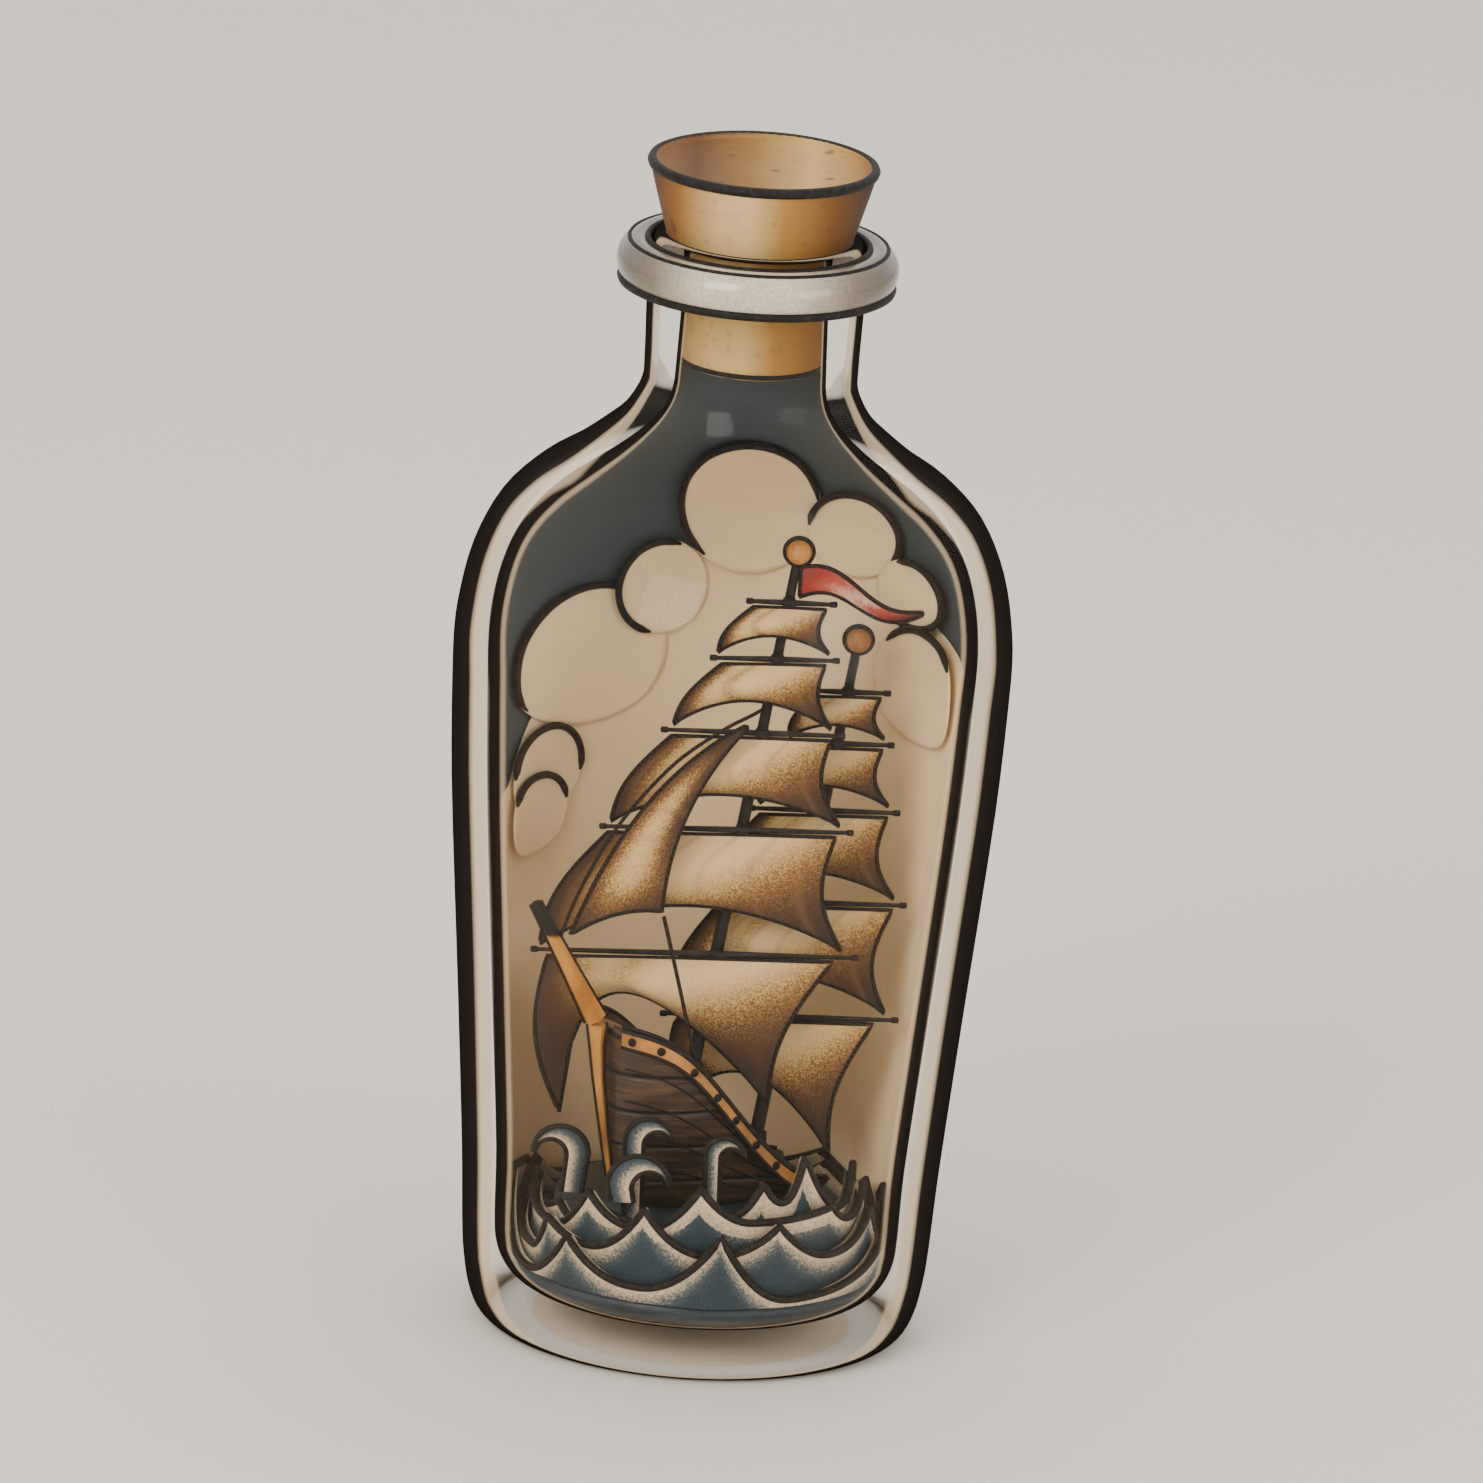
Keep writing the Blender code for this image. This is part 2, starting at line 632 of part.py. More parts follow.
def course_corners(yards, foot, hem):
    _yard, left, left_z, right, right_z = yards[0]
    depth = mast_point(foot, (left_z + right_z) / 2).y - YARD_FORWARD
    (hem_left, hem_left_z), (hem_right, hem_right_z) = hem
    return [Vector((left + 3.0, depth, left_z - SAIL_CLEARANCE)),
            Vector((right - 4.6, depth, right_z - SAIL_CLEARANCE)),
            Vector((hem_left, depth, hem_left_z)), Vector((hem_right, depth - 0.5, hem_right_z))]


def build_mast(name, foot, top, group):
    points = [foot, mast_point(foot, foot.z + 0.5 * (top - foot.z)), mast_point(foot, top)]
    radii = [MAST_RADIUS[0], sum(MAST_RADIUS) / 2, MAST_RADIUS[1]]
    return bar(name, points, radii, group, spar_material())


def build_rig(prefix, foot, top, yards, sails, hem, course_shape, group):
    """One mast on its hinge, with the yards and sails that swing round it."""
    hinge = pivot(prefix + "_mast_hinge", foot + Vector((0.0, 0.0, HINGE_HEIGHT)), group)
    swivel = pivot(prefix + "_yards_swivel", mast_point(foot, yards[0][2]), group)
    hang(swivel, hinge)
    mast = build_mast(prefix + "_mast", foot, top, group)
    hang(mast, hinge)
    truck = ball(prefix + "_truck", mast_point(foot, top + TRUCK_RADIUS + GAP), TRUCK_RADIUS, group,
                 gold_material())
    hang(truck, hinge)
    parts = [build_yard(spec, foot, group) for spec in yards]
    for spec in sails:
        parts.append(sail(spec[0], sail_corners(spec, yards, foot), spec[5], spec[6], spec[7], 1.0, group))
    leech, belly, arch, skew = course_shape
    parts.append(sail(prefix + "_course", course_corners(yards, foot, hem), leech, belly, arch, skew, group))
    for part in parts:
        part.parent = swivel
        part.matrix_parent_inverse = Matrix.Translation(-(hinge.location + swivel.matrix_parent_inverse
                                                          @ swivel.location))
    return hinge


def bezier(points, t):
    first, control, last = points
    return first * (1 - t) ** 2 + control * 2 * t * (1 - t) + last * t ** 2


def build_headsail(group):
    bar("fore_stay", STAY_POINTS, [STAY_RADIUS] * len(STAY_POINTS), group, line_material())
    bar("jib_sheet", SHEET_POINTS, [STAY_RADIUS] * len(SHEET_POINTS), group, line_material())

    def place(u, v):
        point = bezier(JIB_LUFF, v).lerp(bezier(JIB_LEECH, v), u)
        point.z += 1.6 * 4 * u * (1 - u) * v ** 3
        point.y -= 1.2 * math.sin(math.pi * u) * math.sin(math.pi * v)
        return point
    sheet("jib", 6, 10, place, SAIL_THICKNESS, group, sail_material())


def build_pennant(hinge, group):
    root = mast_point(FORE_FOOT, PENNANT_HEIGHT)

    def place(u, v):
        half = PENNANT_HOIST / 2 * (1 - u) ** 0.75 + 0.25
        wave = 1.9 * math.cos(5.82 * (u - 0.2)) - 0.35
        return (root.x + MAST_RADIUS[1] + 0.5 + PENNANT_LENGTH * u,
                root.y - 12.0 * u ** 1.3,
                root.z + wave + half * (2 * v - 1))
    flag = sheet("pennant", 12, 2, place, SAIL_THICKNESS, group, pennant_material())
    hang(flag, hinge)


def build_ship(group):
    build_hull(group)
    build_strake("strake_port", 1, group)
    build_strake("strake_starboard", -1, group)
    build_bow(group)
    build_step("fore_step", FORE_FOOT, group)
    build_step("main_step", MAIN_FOOT, group)
    fore = build_rig("fore", FORE_FOOT, FORE_TOP, FORE_YARDS, FORE_SAILS, FORE_COURSE_FOOT,
                     (3.6, 2.6, 22.0, 0.55), group)
    build_rig("main", MAIN_FOOT, MAIN_TOP, MAIN_YARDS, MAIN_SAILS, MAIN_COURSE_FOOT,
              (3.2, 2.6, 7.5, 1.0), group)
    build_headsail(group)
    build_pennant(fore, group)


def main():
    clear_scene()
    group = make_collection(COLLECTION)
    build_bottle(group)
    build_sky(group)
    build_clouds(group)
    build_sea(group)
    build_ship(group)


main()
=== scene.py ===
import math
import bpy
from mathutils import Matrix, Vector


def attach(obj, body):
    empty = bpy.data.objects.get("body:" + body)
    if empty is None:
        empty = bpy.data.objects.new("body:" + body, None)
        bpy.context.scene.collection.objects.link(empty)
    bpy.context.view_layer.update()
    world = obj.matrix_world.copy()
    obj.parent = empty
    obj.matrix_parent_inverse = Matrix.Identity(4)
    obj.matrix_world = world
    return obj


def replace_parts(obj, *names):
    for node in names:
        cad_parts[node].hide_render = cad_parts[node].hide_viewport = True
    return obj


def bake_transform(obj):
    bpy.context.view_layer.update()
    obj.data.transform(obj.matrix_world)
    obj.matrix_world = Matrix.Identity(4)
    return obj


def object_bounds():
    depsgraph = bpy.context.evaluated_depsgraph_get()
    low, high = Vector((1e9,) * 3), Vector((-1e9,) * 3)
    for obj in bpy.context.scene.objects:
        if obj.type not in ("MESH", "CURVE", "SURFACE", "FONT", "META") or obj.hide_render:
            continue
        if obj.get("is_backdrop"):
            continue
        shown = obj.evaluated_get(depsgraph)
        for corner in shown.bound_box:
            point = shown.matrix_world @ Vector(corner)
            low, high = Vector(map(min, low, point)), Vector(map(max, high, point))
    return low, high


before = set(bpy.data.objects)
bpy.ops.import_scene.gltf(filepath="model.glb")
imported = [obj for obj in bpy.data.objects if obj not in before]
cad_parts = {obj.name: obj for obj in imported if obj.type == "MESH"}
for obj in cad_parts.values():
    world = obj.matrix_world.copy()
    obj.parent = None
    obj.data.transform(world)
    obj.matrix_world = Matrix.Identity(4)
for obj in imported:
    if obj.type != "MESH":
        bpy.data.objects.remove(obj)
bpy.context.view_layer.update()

MM = 0.001
ROOT = "bottle"
HEADING = math.radians(58.0)
AFT = Vector((math.sin(HEADING), math.cos(HEADING), 0.0))
PORT = Vector((math.cos(HEADING), -math.sin(HEADING), 0.0))
STEM_HEAD = Vector((-17.8, -9.6, 0.0))
HULL_BOTTOM = 22.3
INNER = [(10.0, 34.0), (14.5, 35.5), (29.6, 36.1), (57.0, 38.4), (93.2, 41.4), (121.3, 42.9),
         (129.6, 42.6), (137.8, 40.8), (143.9, 37.9), (149.3, 33.2), (153.6, 27.8),
         (157.9, 22.3), (161.9, 18.0), (165.2, 15.3), (168.4, 13.8), (172.5, 13.2),
         (197.0, 13.2)]


# ---------------------------------------------------------------- camera and studio
def build_camera():
    tilt = math.radians(16.5)
    roll = math.radians(3.7)
    right = Vector((math.cos(roll), math.sin(tilt) * math.sin(roll), math.cos(tilt) * math.sin(roll)))
    up = Vector((-math.sin(roll), math.sin(tilt) * math.cos(roll), math.cos(tilt) * math.cos(roll)))
    back = Vector((0.0, -math.cos(tilt), math.sin(tilt)))
    lens = bpy.data.cameras.new("camera")
    lens.lens = 500.0
    lens.sensor_width = 36.0
    lens.clip_start = 0.05
    lens.clip_end = 40.0
    camera = bpy.data.objects.new("camera", lens)
    bpy.context.scene.collection.objects.link(camera)
    place = Matrix((right, up, back)).transposed().to_4x4()
    place.translation = Vector((0.002525, 0.0, 0.106344)) + back * 3.61271
    camera.matrix_world = place
    bpy.context.scene.camera = camera


def area_light(name, size, power, place, colour=(1.0, 1.0, 1.0)):
    lamp = bpy.data.lights.new(name, "AREA")
    lamp.shape = "RECTANGLE"
    lamp.size = size[0]
    lamp.size_y = size[1]
    lamp.energy = power
    lamp.color = colour
    item = bpy.data.objects.new(name, lamp)
    bpy.context.scene.collection.objects.link(item)
    item.location = place
    aim = Vector((0.0, 0.0, 0.1)) - Vector(place)
    item.rotation_euler = aim.to_track_quat("-Z", "Y").to_euler()


def build_studio():
    world = bpy.data.worlds.new("studio")
    bpy.context.scene.world = world
    world.use_nodes = True
    world.node_tree.nodes["Background"].inputs[0].default_value = (1.0, 0.97, 0.93, 1.0)
    world.node_tree.nodes["Background"].inputs[1].default_value = 1.15
    area_light("key", (0.7, 0.9), 16.0, (-0.75, -1.25, 1.05), (1.0, 0.97, 0.93))
    area_light("fill", (0.9, 0.9), 7.0, (1.2, -1.1, 0.55), (0.95, 0.97, 1.0))
    area_light("top", (0.8, 0.5), 5.0, (0.1, 0.5, 1.5))
    mesh = bpy.data.meshes.new("floor")
    far = 14.0
    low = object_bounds()[0][2]
    mesh.from_pydata([(-far, -far, low), (far, -far, low), (far, far, low), (-far, far, low)], [],
                     [(0, 1, 2, 3)])
    floor = bpy.data.objects.new("floor", mesh)
    bpy.context.scene.collection.objects.link(floor)
    look, shader, kit = new_material("floor_paper", (0.78, 0.73, 0.66), 0.9)
    grain = kit.noise(420.0, 3.0)
    kit.bump(shader, grain, 0.06, 0.0004)
    mesh.materials.append(look)
    floor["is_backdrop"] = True


# ---------------------------------------------------------------- node helpers
class Kit:
    """Short calls that add shader nodes to one material."""

    def __init__(self, look):
        self.tree = look.node_tree
        self.coords = self.tree.nodes.new("ShaderNodeTexCoord").outputs["Object"]

    def node(self, kind, **values):
        made = self.tree.nodes.new("ShaderNode" + kind)
        for key, value in values.items():
            setattr(made, key, value)
        return made

    def link(self, source, target):
        self.tree.links.new(source, target)

    def stretched(self, scale):
        mapping = self.node("Mapping")
        self.link(self.coords, mapping.inputs["Vector"])
        mapping.inputs["Scale"].default_value = scale
        return mapping.outputs[0]

    def noise(self, scale, detail=4.0, roughness=0.6, vector=None):
        made = self.node("TexNoise")
        self.link(vector or self.coords, made.inputs["Vector"])
        made.inputs["Scale"].default_value = scale
        made.inputs["Detail"].default_value = detail
        made.inputs["Roughness"].default_value = roughness
        return made.outputs[0]

    def cells(self, scale, feature="F1", vector=None):
        made = self.node("TexVoronoi", feature=feature)
        self.link(vector or self.coords, made.inputs["Vector"])
        made.inputs["Scale"].default_value = scale
        return made

    def bands(self, scale, direction, distortion=0.0, vector=None):
        made = self.node("TexWave", wave_type="BANDS", bands_direction=direction)
        self.link(vector or self.coords, made.inputs["Vector"])
        made.inputs["Scale"].default_value = scale
        made.inputs["Distortion"].default_value = distortion
        made.inputs["Detail"].default_value = 1.0
        return made.outputs["Fac"]

    def ramp(self, value, stops, smooth=False):
        made = self.node("ValToRGB")
        ramp = made.color_ramp
        ramp.interpolation = "EASE" if smooth else "LINEAR"
        while len(ramp.elements) > 1:
            ramp.elements.remove(ramp.elements[-1])
        ramp.elements[0].position = stops[0][0]
        ramp.elements[0].color = (*stops[0][1], 1.0)
        for at, colour in stops[1:]:
            ramp.elements.new(at).color = (*colour, 1.0)
        self.link(value, made.inputs[0])
        return made.outputs[0]

    def grey(self, value, stops, smooth=False):
        return self.ramp(value, [(at, (level,) * 3) for at, level in stops], smooth)

    def math(self, operation, first, second=None, clamp=False):
        made = self.node("Math", operation=operation, use_clamp=clamp)
        for slot, value in zip(made.inputs, (first, second)):
            if value is None:
                continue
            if isinstance(value, (int, float)):
                slot.default_value = value
            else:
                self.link(value, slot)
        return made.outputs[0]

    def mix(self, factor, first, second, blend="MIX"):
        made = self.node("Mix", data_type="RGBA", blend_type=blend)
        for slot, value in ((made.inputs[0], factor), (made.inputs[6], first), (made.inputs[7], second)):
            if isinstance(value, (int, float)):
                slot.default_value = value
            elif isinstance(value, tuple):
                slot.default_value = (*value, 1.0)
            else:
                self.link(value, slot)
        return made.outputs[2]

    def paint(self, channel):
        """One channel of the mesh's own paint attribute."""
        found = self.node("Attribute", attribute_name="paint")
        parts = self.node("SeparateColor")
        self.link(found.outputs["Color"], parts.inputs[0])
        return parts.outputs[channel]

    def axis(self, index):
        parts = self.node("SeparateXYZ")
        self.link(self.coords, parts.inputs[0])
        return parts.outputs[index]

    def bump(self, shader, height, strength, distance):
        made = self.node("Bump")
        made.inputs["Strength"].default_value = strength
        made.inputs["Distance"].default_value = distance
        self.link(height, made.inputs["Height"])
        self.link(made.outputs[0], shader.inputs["Normal"])

    def stipple(self, scale=1500.0, low=0.35, high=0.65):
        """Airbrush grain from 0 to 1."""
        return self.grey(self.noise(scale, 2.0, 0.7), [(low, 0.0), (high, 1.0)])


def new_material(name, colour, roughness):
    look = bpy.data.materials.new(name)
    look.use_nodes = True
    shader = look.node_tree.nodes["Principled BSDF"]
    shader.inputs["Base Color"].default_value = (*colour, 1.0)
    shader.inputs["Roughness"].default_value = roughness
    return look, shader, Kit(look)


# ---------------------------------------------------------------- materials
def glass_look(name, cover_stops, gloss_level, edge_shade_from):
    """Clear glass with a warm tint, then a dark line, where the wall is seen along its skin; the dark line is
    painted shade for the edge darkening of thick glass.
    """
    look, shader, kit = new_material(name, (0.62, 0.50, 0.36), 0.6)
    shader.inputs["Specular IOR Level"].default_value = 0.0
    facing = kit.node("LayerWeight")
    facing.inputs["Blend"].default_value = 0.5
    side = facing.outputs["Facing"]
    # Painted shade: the colour turns near black where the wall is seen edge-on.
    tone = kit.ramp(side, [(0.0, (0.90, 0.70, 0.46)), (edge_shade_from - 0.05, (0.88, 0.66, 0.42)),
                           (edge_shade_from, (0.012, 0.008, 0.006)), (1.0, (0.004, 0.003, 0.003))])
    smudge = kit.grey(kit.noise(55.0, 3.0, 0.5), [(0.45, 0.0), (0.75, 0.12)])
    kit.link(kit.mix(smudge, tone, (0.9, 0.8, 0.66), "MULTIPLY"), shader.inputs["Base Color"])
    clear = kit.node("BsdfTransparent")
    clear.inputs[0].default_value = (0.985, 0.970, 0.945, 1.0)
    body = kit.node("MixShader")
    kit.link(kit.grey(side, cover_stops), body.inputs[0])
    kit.link(clear.outputs[0], body.inputs[1])
    kit.link(shader.outputs[0], body.inputs[2])
    gloss = kit.node("BsdfGlossy")
    gloss.inputs["Color"].default_value = (1.0, 1.0, 1.0, 1.0)
    gloss.inputs["Roughness"].default_value = 0.05
    shine = kit.node("MixShader")
    shine.inputs[0].default_value = gloss_level
    kit.link(body.outputs[0], shine.inputs[1])
    kit.link(gloss.outputs[0], shine.inputs[2])
    kit.link(shine.outputs[0], look.node_tree.nodes["Material Output"].inputs["Surface"])
    return look


def ring_look():
    look, shader, kit = new_material("ring_opal_glass", (0.7, 0.6, 0.42), 0.22)
    # Painted shade: the ring darkens towards its left and right sides along x and stays light across its
    # middle.
    across = kit.math("MULTIPLY", kit.axis(0), 20.0)
    tone = kit.ramp(kit.math("ADD", across, 0.5, True),
                    [(0.0, (0.03, 0.021, 0.013)), (0.14, (0.19, 0.15, 0.095)), (0.3, (0.66, 0.57, 0.43)),
                     (0.62, (0.68, 0.59, 0.45)), (0.84, (0.20, 0.155, 0.10)), (1.0, (0.03, 0.021, 0.013))])
    grain = kit.math("MULTIPLY", kit.stipple(1700.0), 0.35)
    kit.link(kit.mix(grain, tone, (0.30, 0.24, 0.17), "MULTIPLY"), shader.inputs["Base Color"])
    shader.inputs["Coat Weight"].default_value = 0.5
    kit.bump(shader, kit.noise(190.0, 3.0), 0.08, 0.0004)
    return look


def cork_look():
    look, shader, kit = new_material("cork_bark", (0.5, 0.32, 0.14), 0.82)
    # Painted light: along x the side is lit just left of its middle and shaded dark towards both edges,
    # darkest on the right.
    across = kit.math("ADD", kit.math("MULTIPLY", kit.axis(0), 25.5), 0.5, True)
    side = kit.ramp(across, [(0.0, (0.035, 0.011, 0.003)), (0.13, (0.25, 0.100, 0.013)),
                             (0.31, (0.62, 0.41, 0.155)), (0.45, (0.64, 0.43, 0.17)),
                             (0.60, (0.36, 0.185, 0.034)), (0.82, (0.16, 0.058, 0.008)),
                             (1.0, (0.018, 0.006, 0.002))])
    # Painted light on the top face: dark left of its middle and lit right of it, as light falls across a
    # dished top.
    top = kit.ramp(across, [(0.0, (0.20, 0.085, 0.014)), (0.2, (0.10, 0.034, 0.006)),
                            (0.46, (0.27, 0.125, 0.020)), (0.72, (0.56, 0.34, 0.11)),
                            (0.9, (0.38, 0.19, 0.04)), (1.0, (0.16, 0.062, 0.010))])
    dish = kit.grey(kit.math("MULTIPLY", kit.axis(2), 4.0), [(0.8390, 0.0), (0.8396, 1.0)])
    flat = kit.node("NewGeometry")
    parts = kit.node("SeparateXYZ")
    kit.link(flat.outputs["True Normal"], parts.inputs[0])
    lid = kit.math("MULTIPLY", dish, kit.grey(parts.outputs[2], [(0.5, 0.0), (0.8, 1.0)]))
    tone = kit.mix(lid, side, top)
    granule = kit.cells(420.0)
    speck = kit.grey(granule.outputs["Distance"], [(0.0, 0.55), (0.35, 1.0)])
    tone = kit.mix(0.55, tone, kit.mix(1.0, tone, speck, "MULTIPLY"))
    pore = kit.cells(130.0, vector=kit.stretched((1.0, 1.0, 0.45)))
    hole = kit.grey(pore.outputs["Distance"], [(0.07, 1.0), (0.16, 0.0)])
    tone = kit.mix(kit.math("MULTIPLY", hole, 0.7), tone, (0.12, 0.05, 0.018))
    kit.link(tone, shader.inputs["Base Color"])
    height = kit.math("SUBTRACT", kit.math("MULTIPLY", kit.noise(600.0, 4.0), 0.6), hole)
    kit.bump(shader, height, 0.35, 0.0004)
    return look


def paper_look(name, base, dark, spread=0.5):
    look, shader, kit = new_material(name, base, 0.86)
    wash = kit.grey(kit.noise(22.0, 3.0), [(0.3, 0.0), (0.75, 1.0)])
    tone = kit.mix(kit.math("MULTIPLY", wash, spread), base, dark)
    fleck = kit.math("MULTIPLY", kit.stipple(1300.0, 0.4, 0.72), 0.35)
    kit.link(kit.mix(fleck, tone, dark), shader.inputs["Base Color"])
    kit.bump(shader, kit.noise(1100.0, 3.0), 0.2, 0.00015)
    return look


def wave_look(name="sea_airbrushed"):
    """Cream crest fading down to blue-grey through grain: paint R is the distance below the crest."""
    look, shader, kit = new_material(name, (0.05, 0.07, 0.085), 0.42)
    fade = kit.paint(0)
    grain = kit.math("MULTIPLY", kit.math("SUBTRACT", kit.stipple(2600.0, 0.34, 0.66), 0.5), 0.34)
    level = kit.math("ADD", fade, grain, True)
    tone = kit.ramp(level, [(0.0, (0.78, 0.60, 0.41)), (0.22, (0.46, 0.38, 0.27)),
                            (0.5, (0.080, 0.100, 0.110)),
                            (0.75, (0.030, 0.050, 0.066)), (1.0, (0.021, 0.037, 0.051))])
    kit.link(tone, shader.inputs["Base Color"])
    shader.inputs["Roughness"].default_value = 0.6
    shader.inputs["Specular IOR Level"].default_value = 0.25
    kit.bump(shader, kit.noise(210.0, 4.0), 0.25, 0.0006)
    return look


def water_look():
    look, shader, kit = new_material("sea_body", (0.04, 0.055, 0.067), 0.35)
    streak = kit.noise(60.0, 4.0, 0.6, kit.stretched((1.0, 1.0, 3.0)))
    tone = kit.ramp(streak, [(0.3, (0.016, 0.030, 0.042)), (0.55, (0.028, 0.046, 0.060)),
                             (0.72, (0.075, 0.090, 0.098))])
    kit.link(tone, shader.inputs["Base Color"])
    shader.inputs["Specular IOR Level"].default_value = 0.25
    kit.bump(shader, streak, 0.4, 0.0012)
    return look


def sail_look(name):
    """Tea-stained cloth: paint R is how deep the painted shade is, G marks the seams between cloths."""
    look, shader, kit = new_material(name, (0.6, 0.42, 0.22), 0.88)
    shade = kit.paint(0)
    grain = kit.math("MULTIPLY", kit.math("SUBTRACT", kit.stipple(2900.0, 0.36, 0.64), 0.5), 0.30)
    lift = kit.math("MULTIPLY", kit.math("SUBTRACT", kit.noise(60.0, 2.0), 0.5), 0.10)
    grain = kit.math("MULTIPLY", grain, kit.grey(shade, [(0.0, 0.25), (0.3, 1.0)]))
    level = kit.math("ADD", kit.math("ADD", shade, grain), lift, True)
    # Painted shade: the tan cloth darkens to near black as paint R rises.
    tone = kit.ramp(level, [(0.0, (0.70, 0.495, 0.24)), (0.2, (0.52, 0.335, 0.13)),
                            (0.40, (0.225, 0.112, 0.028)), (0.62, (0.080, 0.032, 0.007)),
                            (1.0, (0.020, 0.008, 0.003))])
    seam = kit.paint(1)
    tone = kit.mix(kit.math("MULTIPLY", seam, 0.28), tone, (0.20, 0.10, 0.035))
    kit.link(tone, shader.inputs["Base Color"])
    shader.inputs["Sheen Weight"].default_value = 0.15
    weave = kit.math("MULTIPLY", kit.bands(640.0, "X"), kit.bands(640.0, "Z"))
    height = kit.math("ADD", weave, kit.math("MULTIPLY", seam, 1.2))
    kit.bump(shader, height, 0.3, 0.0002)
    return look


def pennant_look():
    look, shader, kit = new_material("pennant_bunting", (0.35, 0.05, 0.035), 0.8)
    along = kit.paint(0)
    grain = kit.math("MULTIPLY", kit.math("SUBTRACT", kit.stipple(1500.0), 0.5), 0.10)
    # Painted light: dark red towards both ends with a pale painted highlight about halfway along.
    tone = kit.ramp(kit.math("ADD", along, grain, True),
                    [(0.0, (0.20, 0.028, 0.02)), (0.12, (0.30, 0.016, 0.012)), (0.3, (0.42, 0.075, 0.05)),
                     (0.48, (0.60, 0.38, 0.28)), (0.62, (0.36, 0.065, 0.04)), (0.8, (0.20, 0.016, 0.011)),
                     (1.0, (0.05, 0.008, 0.006))])
    kit.link(tone, shader.inputs["Base Color"])
    weave = kit.math("MULTIPLY", kit.bands(700.0, "X"), kit.bands(700.0, "Z"))
    kit.bump(shader, weave, 0.3, 0.00015)
    return look


GILT_TONES = [(0.28, (0.17, 0.058, 0.008)), (0.5, (0.42, 0.17, 0.03)), (0.72, (0.62, 0.30, 0.07))]


def sprit_look():
    """Gilded at the butt and painted black over its outer quarter."""
    look, shader, kit = new_material("gilt_spar", (0.4, 0.17, 0.03), 0.45)
    shader.inputs["Specular IOR Level"].default_value = 0.25
    grain = kit.noise(150.0, 4.0, 0.6, kit.stretched((1.0, 1.0, 0.5)))
    tone = kit.ramp(grain, GILT_TONES)
    outer = kit.grey(kit.math("MULTIPLY", kit.axis(2), 10.0), [(0.727, 0.0), (0.733, 1.0)])
    kit.link(kit.mix(outer, tone, (0.008, 0.006, 0.005)), shader.inputs["Base Color"])
    kit.bump(shader, grain, 0.25, 0.0003)
    return look


def hull_look():
    look, shader, kit = new_material("hull_planking", (0.06, 0.035, 0.022), 0.5)
    plank = kit.bands(46.0, "Z", 0.6, kit.stretched((1.0, 1.0, 1.0)))
    gap = kit.grey(plank, [(0.0, 1.0), (0.07, 0.0)])
    grain = kit.noise(95.0, 5.0, 0.65, kit.stretched((1.0, 1.0, 9.0)))
    tone = kit.ramp(grain, [(0.30, (0.010, 0.005, 0.003)), (0.5, (0.042, 0.020, 0.010)),
                            (0.72, (0.12, 0.064, 0.032))])
    tone = kit.mix(gap, tone, (0.004, 0.003, 0.003))
    kit.link(tone, shader.inputs["Base Color"])
    kit.bump(shader, kit.math("SUBTRACT", grain, kit.math("MULTIPLY", gap, 2.0)), 0.5, 0.0005)
    return look


def deck_look():
    look, shader, kit = new_material("deck_planking", (0.3, 0.19, 0.1), 0.7)
    turn = kit.node("Mapping")
    kit.link(kit.coords, turn.inputs["Vector"])
    turn.inputs["Rotation"].default_value = (0.0, 0.0, HEADING)
    plank = kit.bands(170.0, "X", 0.0, turn.outputs[0])
    grain = kit.noise(180.0, 4.0, 0.6, turn.outputs[0])
    tone = kit.ramp(grain, [(0.3, (0.20, 0.12, 0.06)), (0.7, (0.42, 0.28, 0.16))])
    tone = kit.mix(kit.grey(plank, [(0.0, 1.0), (0.14, 0.0)]), tone, (0.02, 0.012, 0.008))
    kit.link(tone, shader.inputs["Base Color"])
    kit.bump(shader, plank, 0.3, 0.0002)
    return look


def gold_look():
    look, shader, kit = new_material("gilt_wood", (0.5, 0.25, 0.06), 0.42)
    grain = kit.noise(150.0, 4.0, 0.6, kit.stretched((1.0, 1.0, 0.5)))
    tone = kit.ramp(grain, GILT_TONES)
    wear = kit.math("MULTIPLY", kit.stipple(900.0, 0.5, 0.75), 0.35)
    kit.link(kit.mix(wear, tone, (0.10, 0.04, 0.01)), shader.inputs["Base Color"])
    kit.bump(shader, grain, 0.25, 0.0003)
    return look


def dark_look(name, colour=(0.012, 0.009, 0.008), roughness=0.5, scale=500.0, strength=0.25):
    look, shader, kit = new_material(name, colour, roughness)
    shader.inputs["Specular IOR Level"].default_value = 0.2
    grain = kit.noise(scale, 4.0, 0.6)
    worn = tuple(3.2 * part + 0.004 for part in colour)
    tone = kit.mix(kit.grey(grain, [(0.5, 0.0), (0.8, 1.0)]), colour, worn)
    kit.link(tone, shader.inputs["Base Color"])
    kit.bump(shader, grain, strength, 0.0003)
    return look


def rope_look():
    look, shader, kit = new_material("tarred_rope", (0.011, 0.008, 0.007), 0.75)
    shader.inputs["Specular IOR Level"].default_value = 0.2
    lay = kit.bands(420.0, "DIAGONAL", 1.5)
    kit.link(kit.mix(lay, (0.006, 0.004, 0.004), (0.026, 0.018, 0.014)), shader.inputs["Base Color"])
    kit.bump(shader, lay, 0.5, 0.0002)
    return look


LOOKS = {}


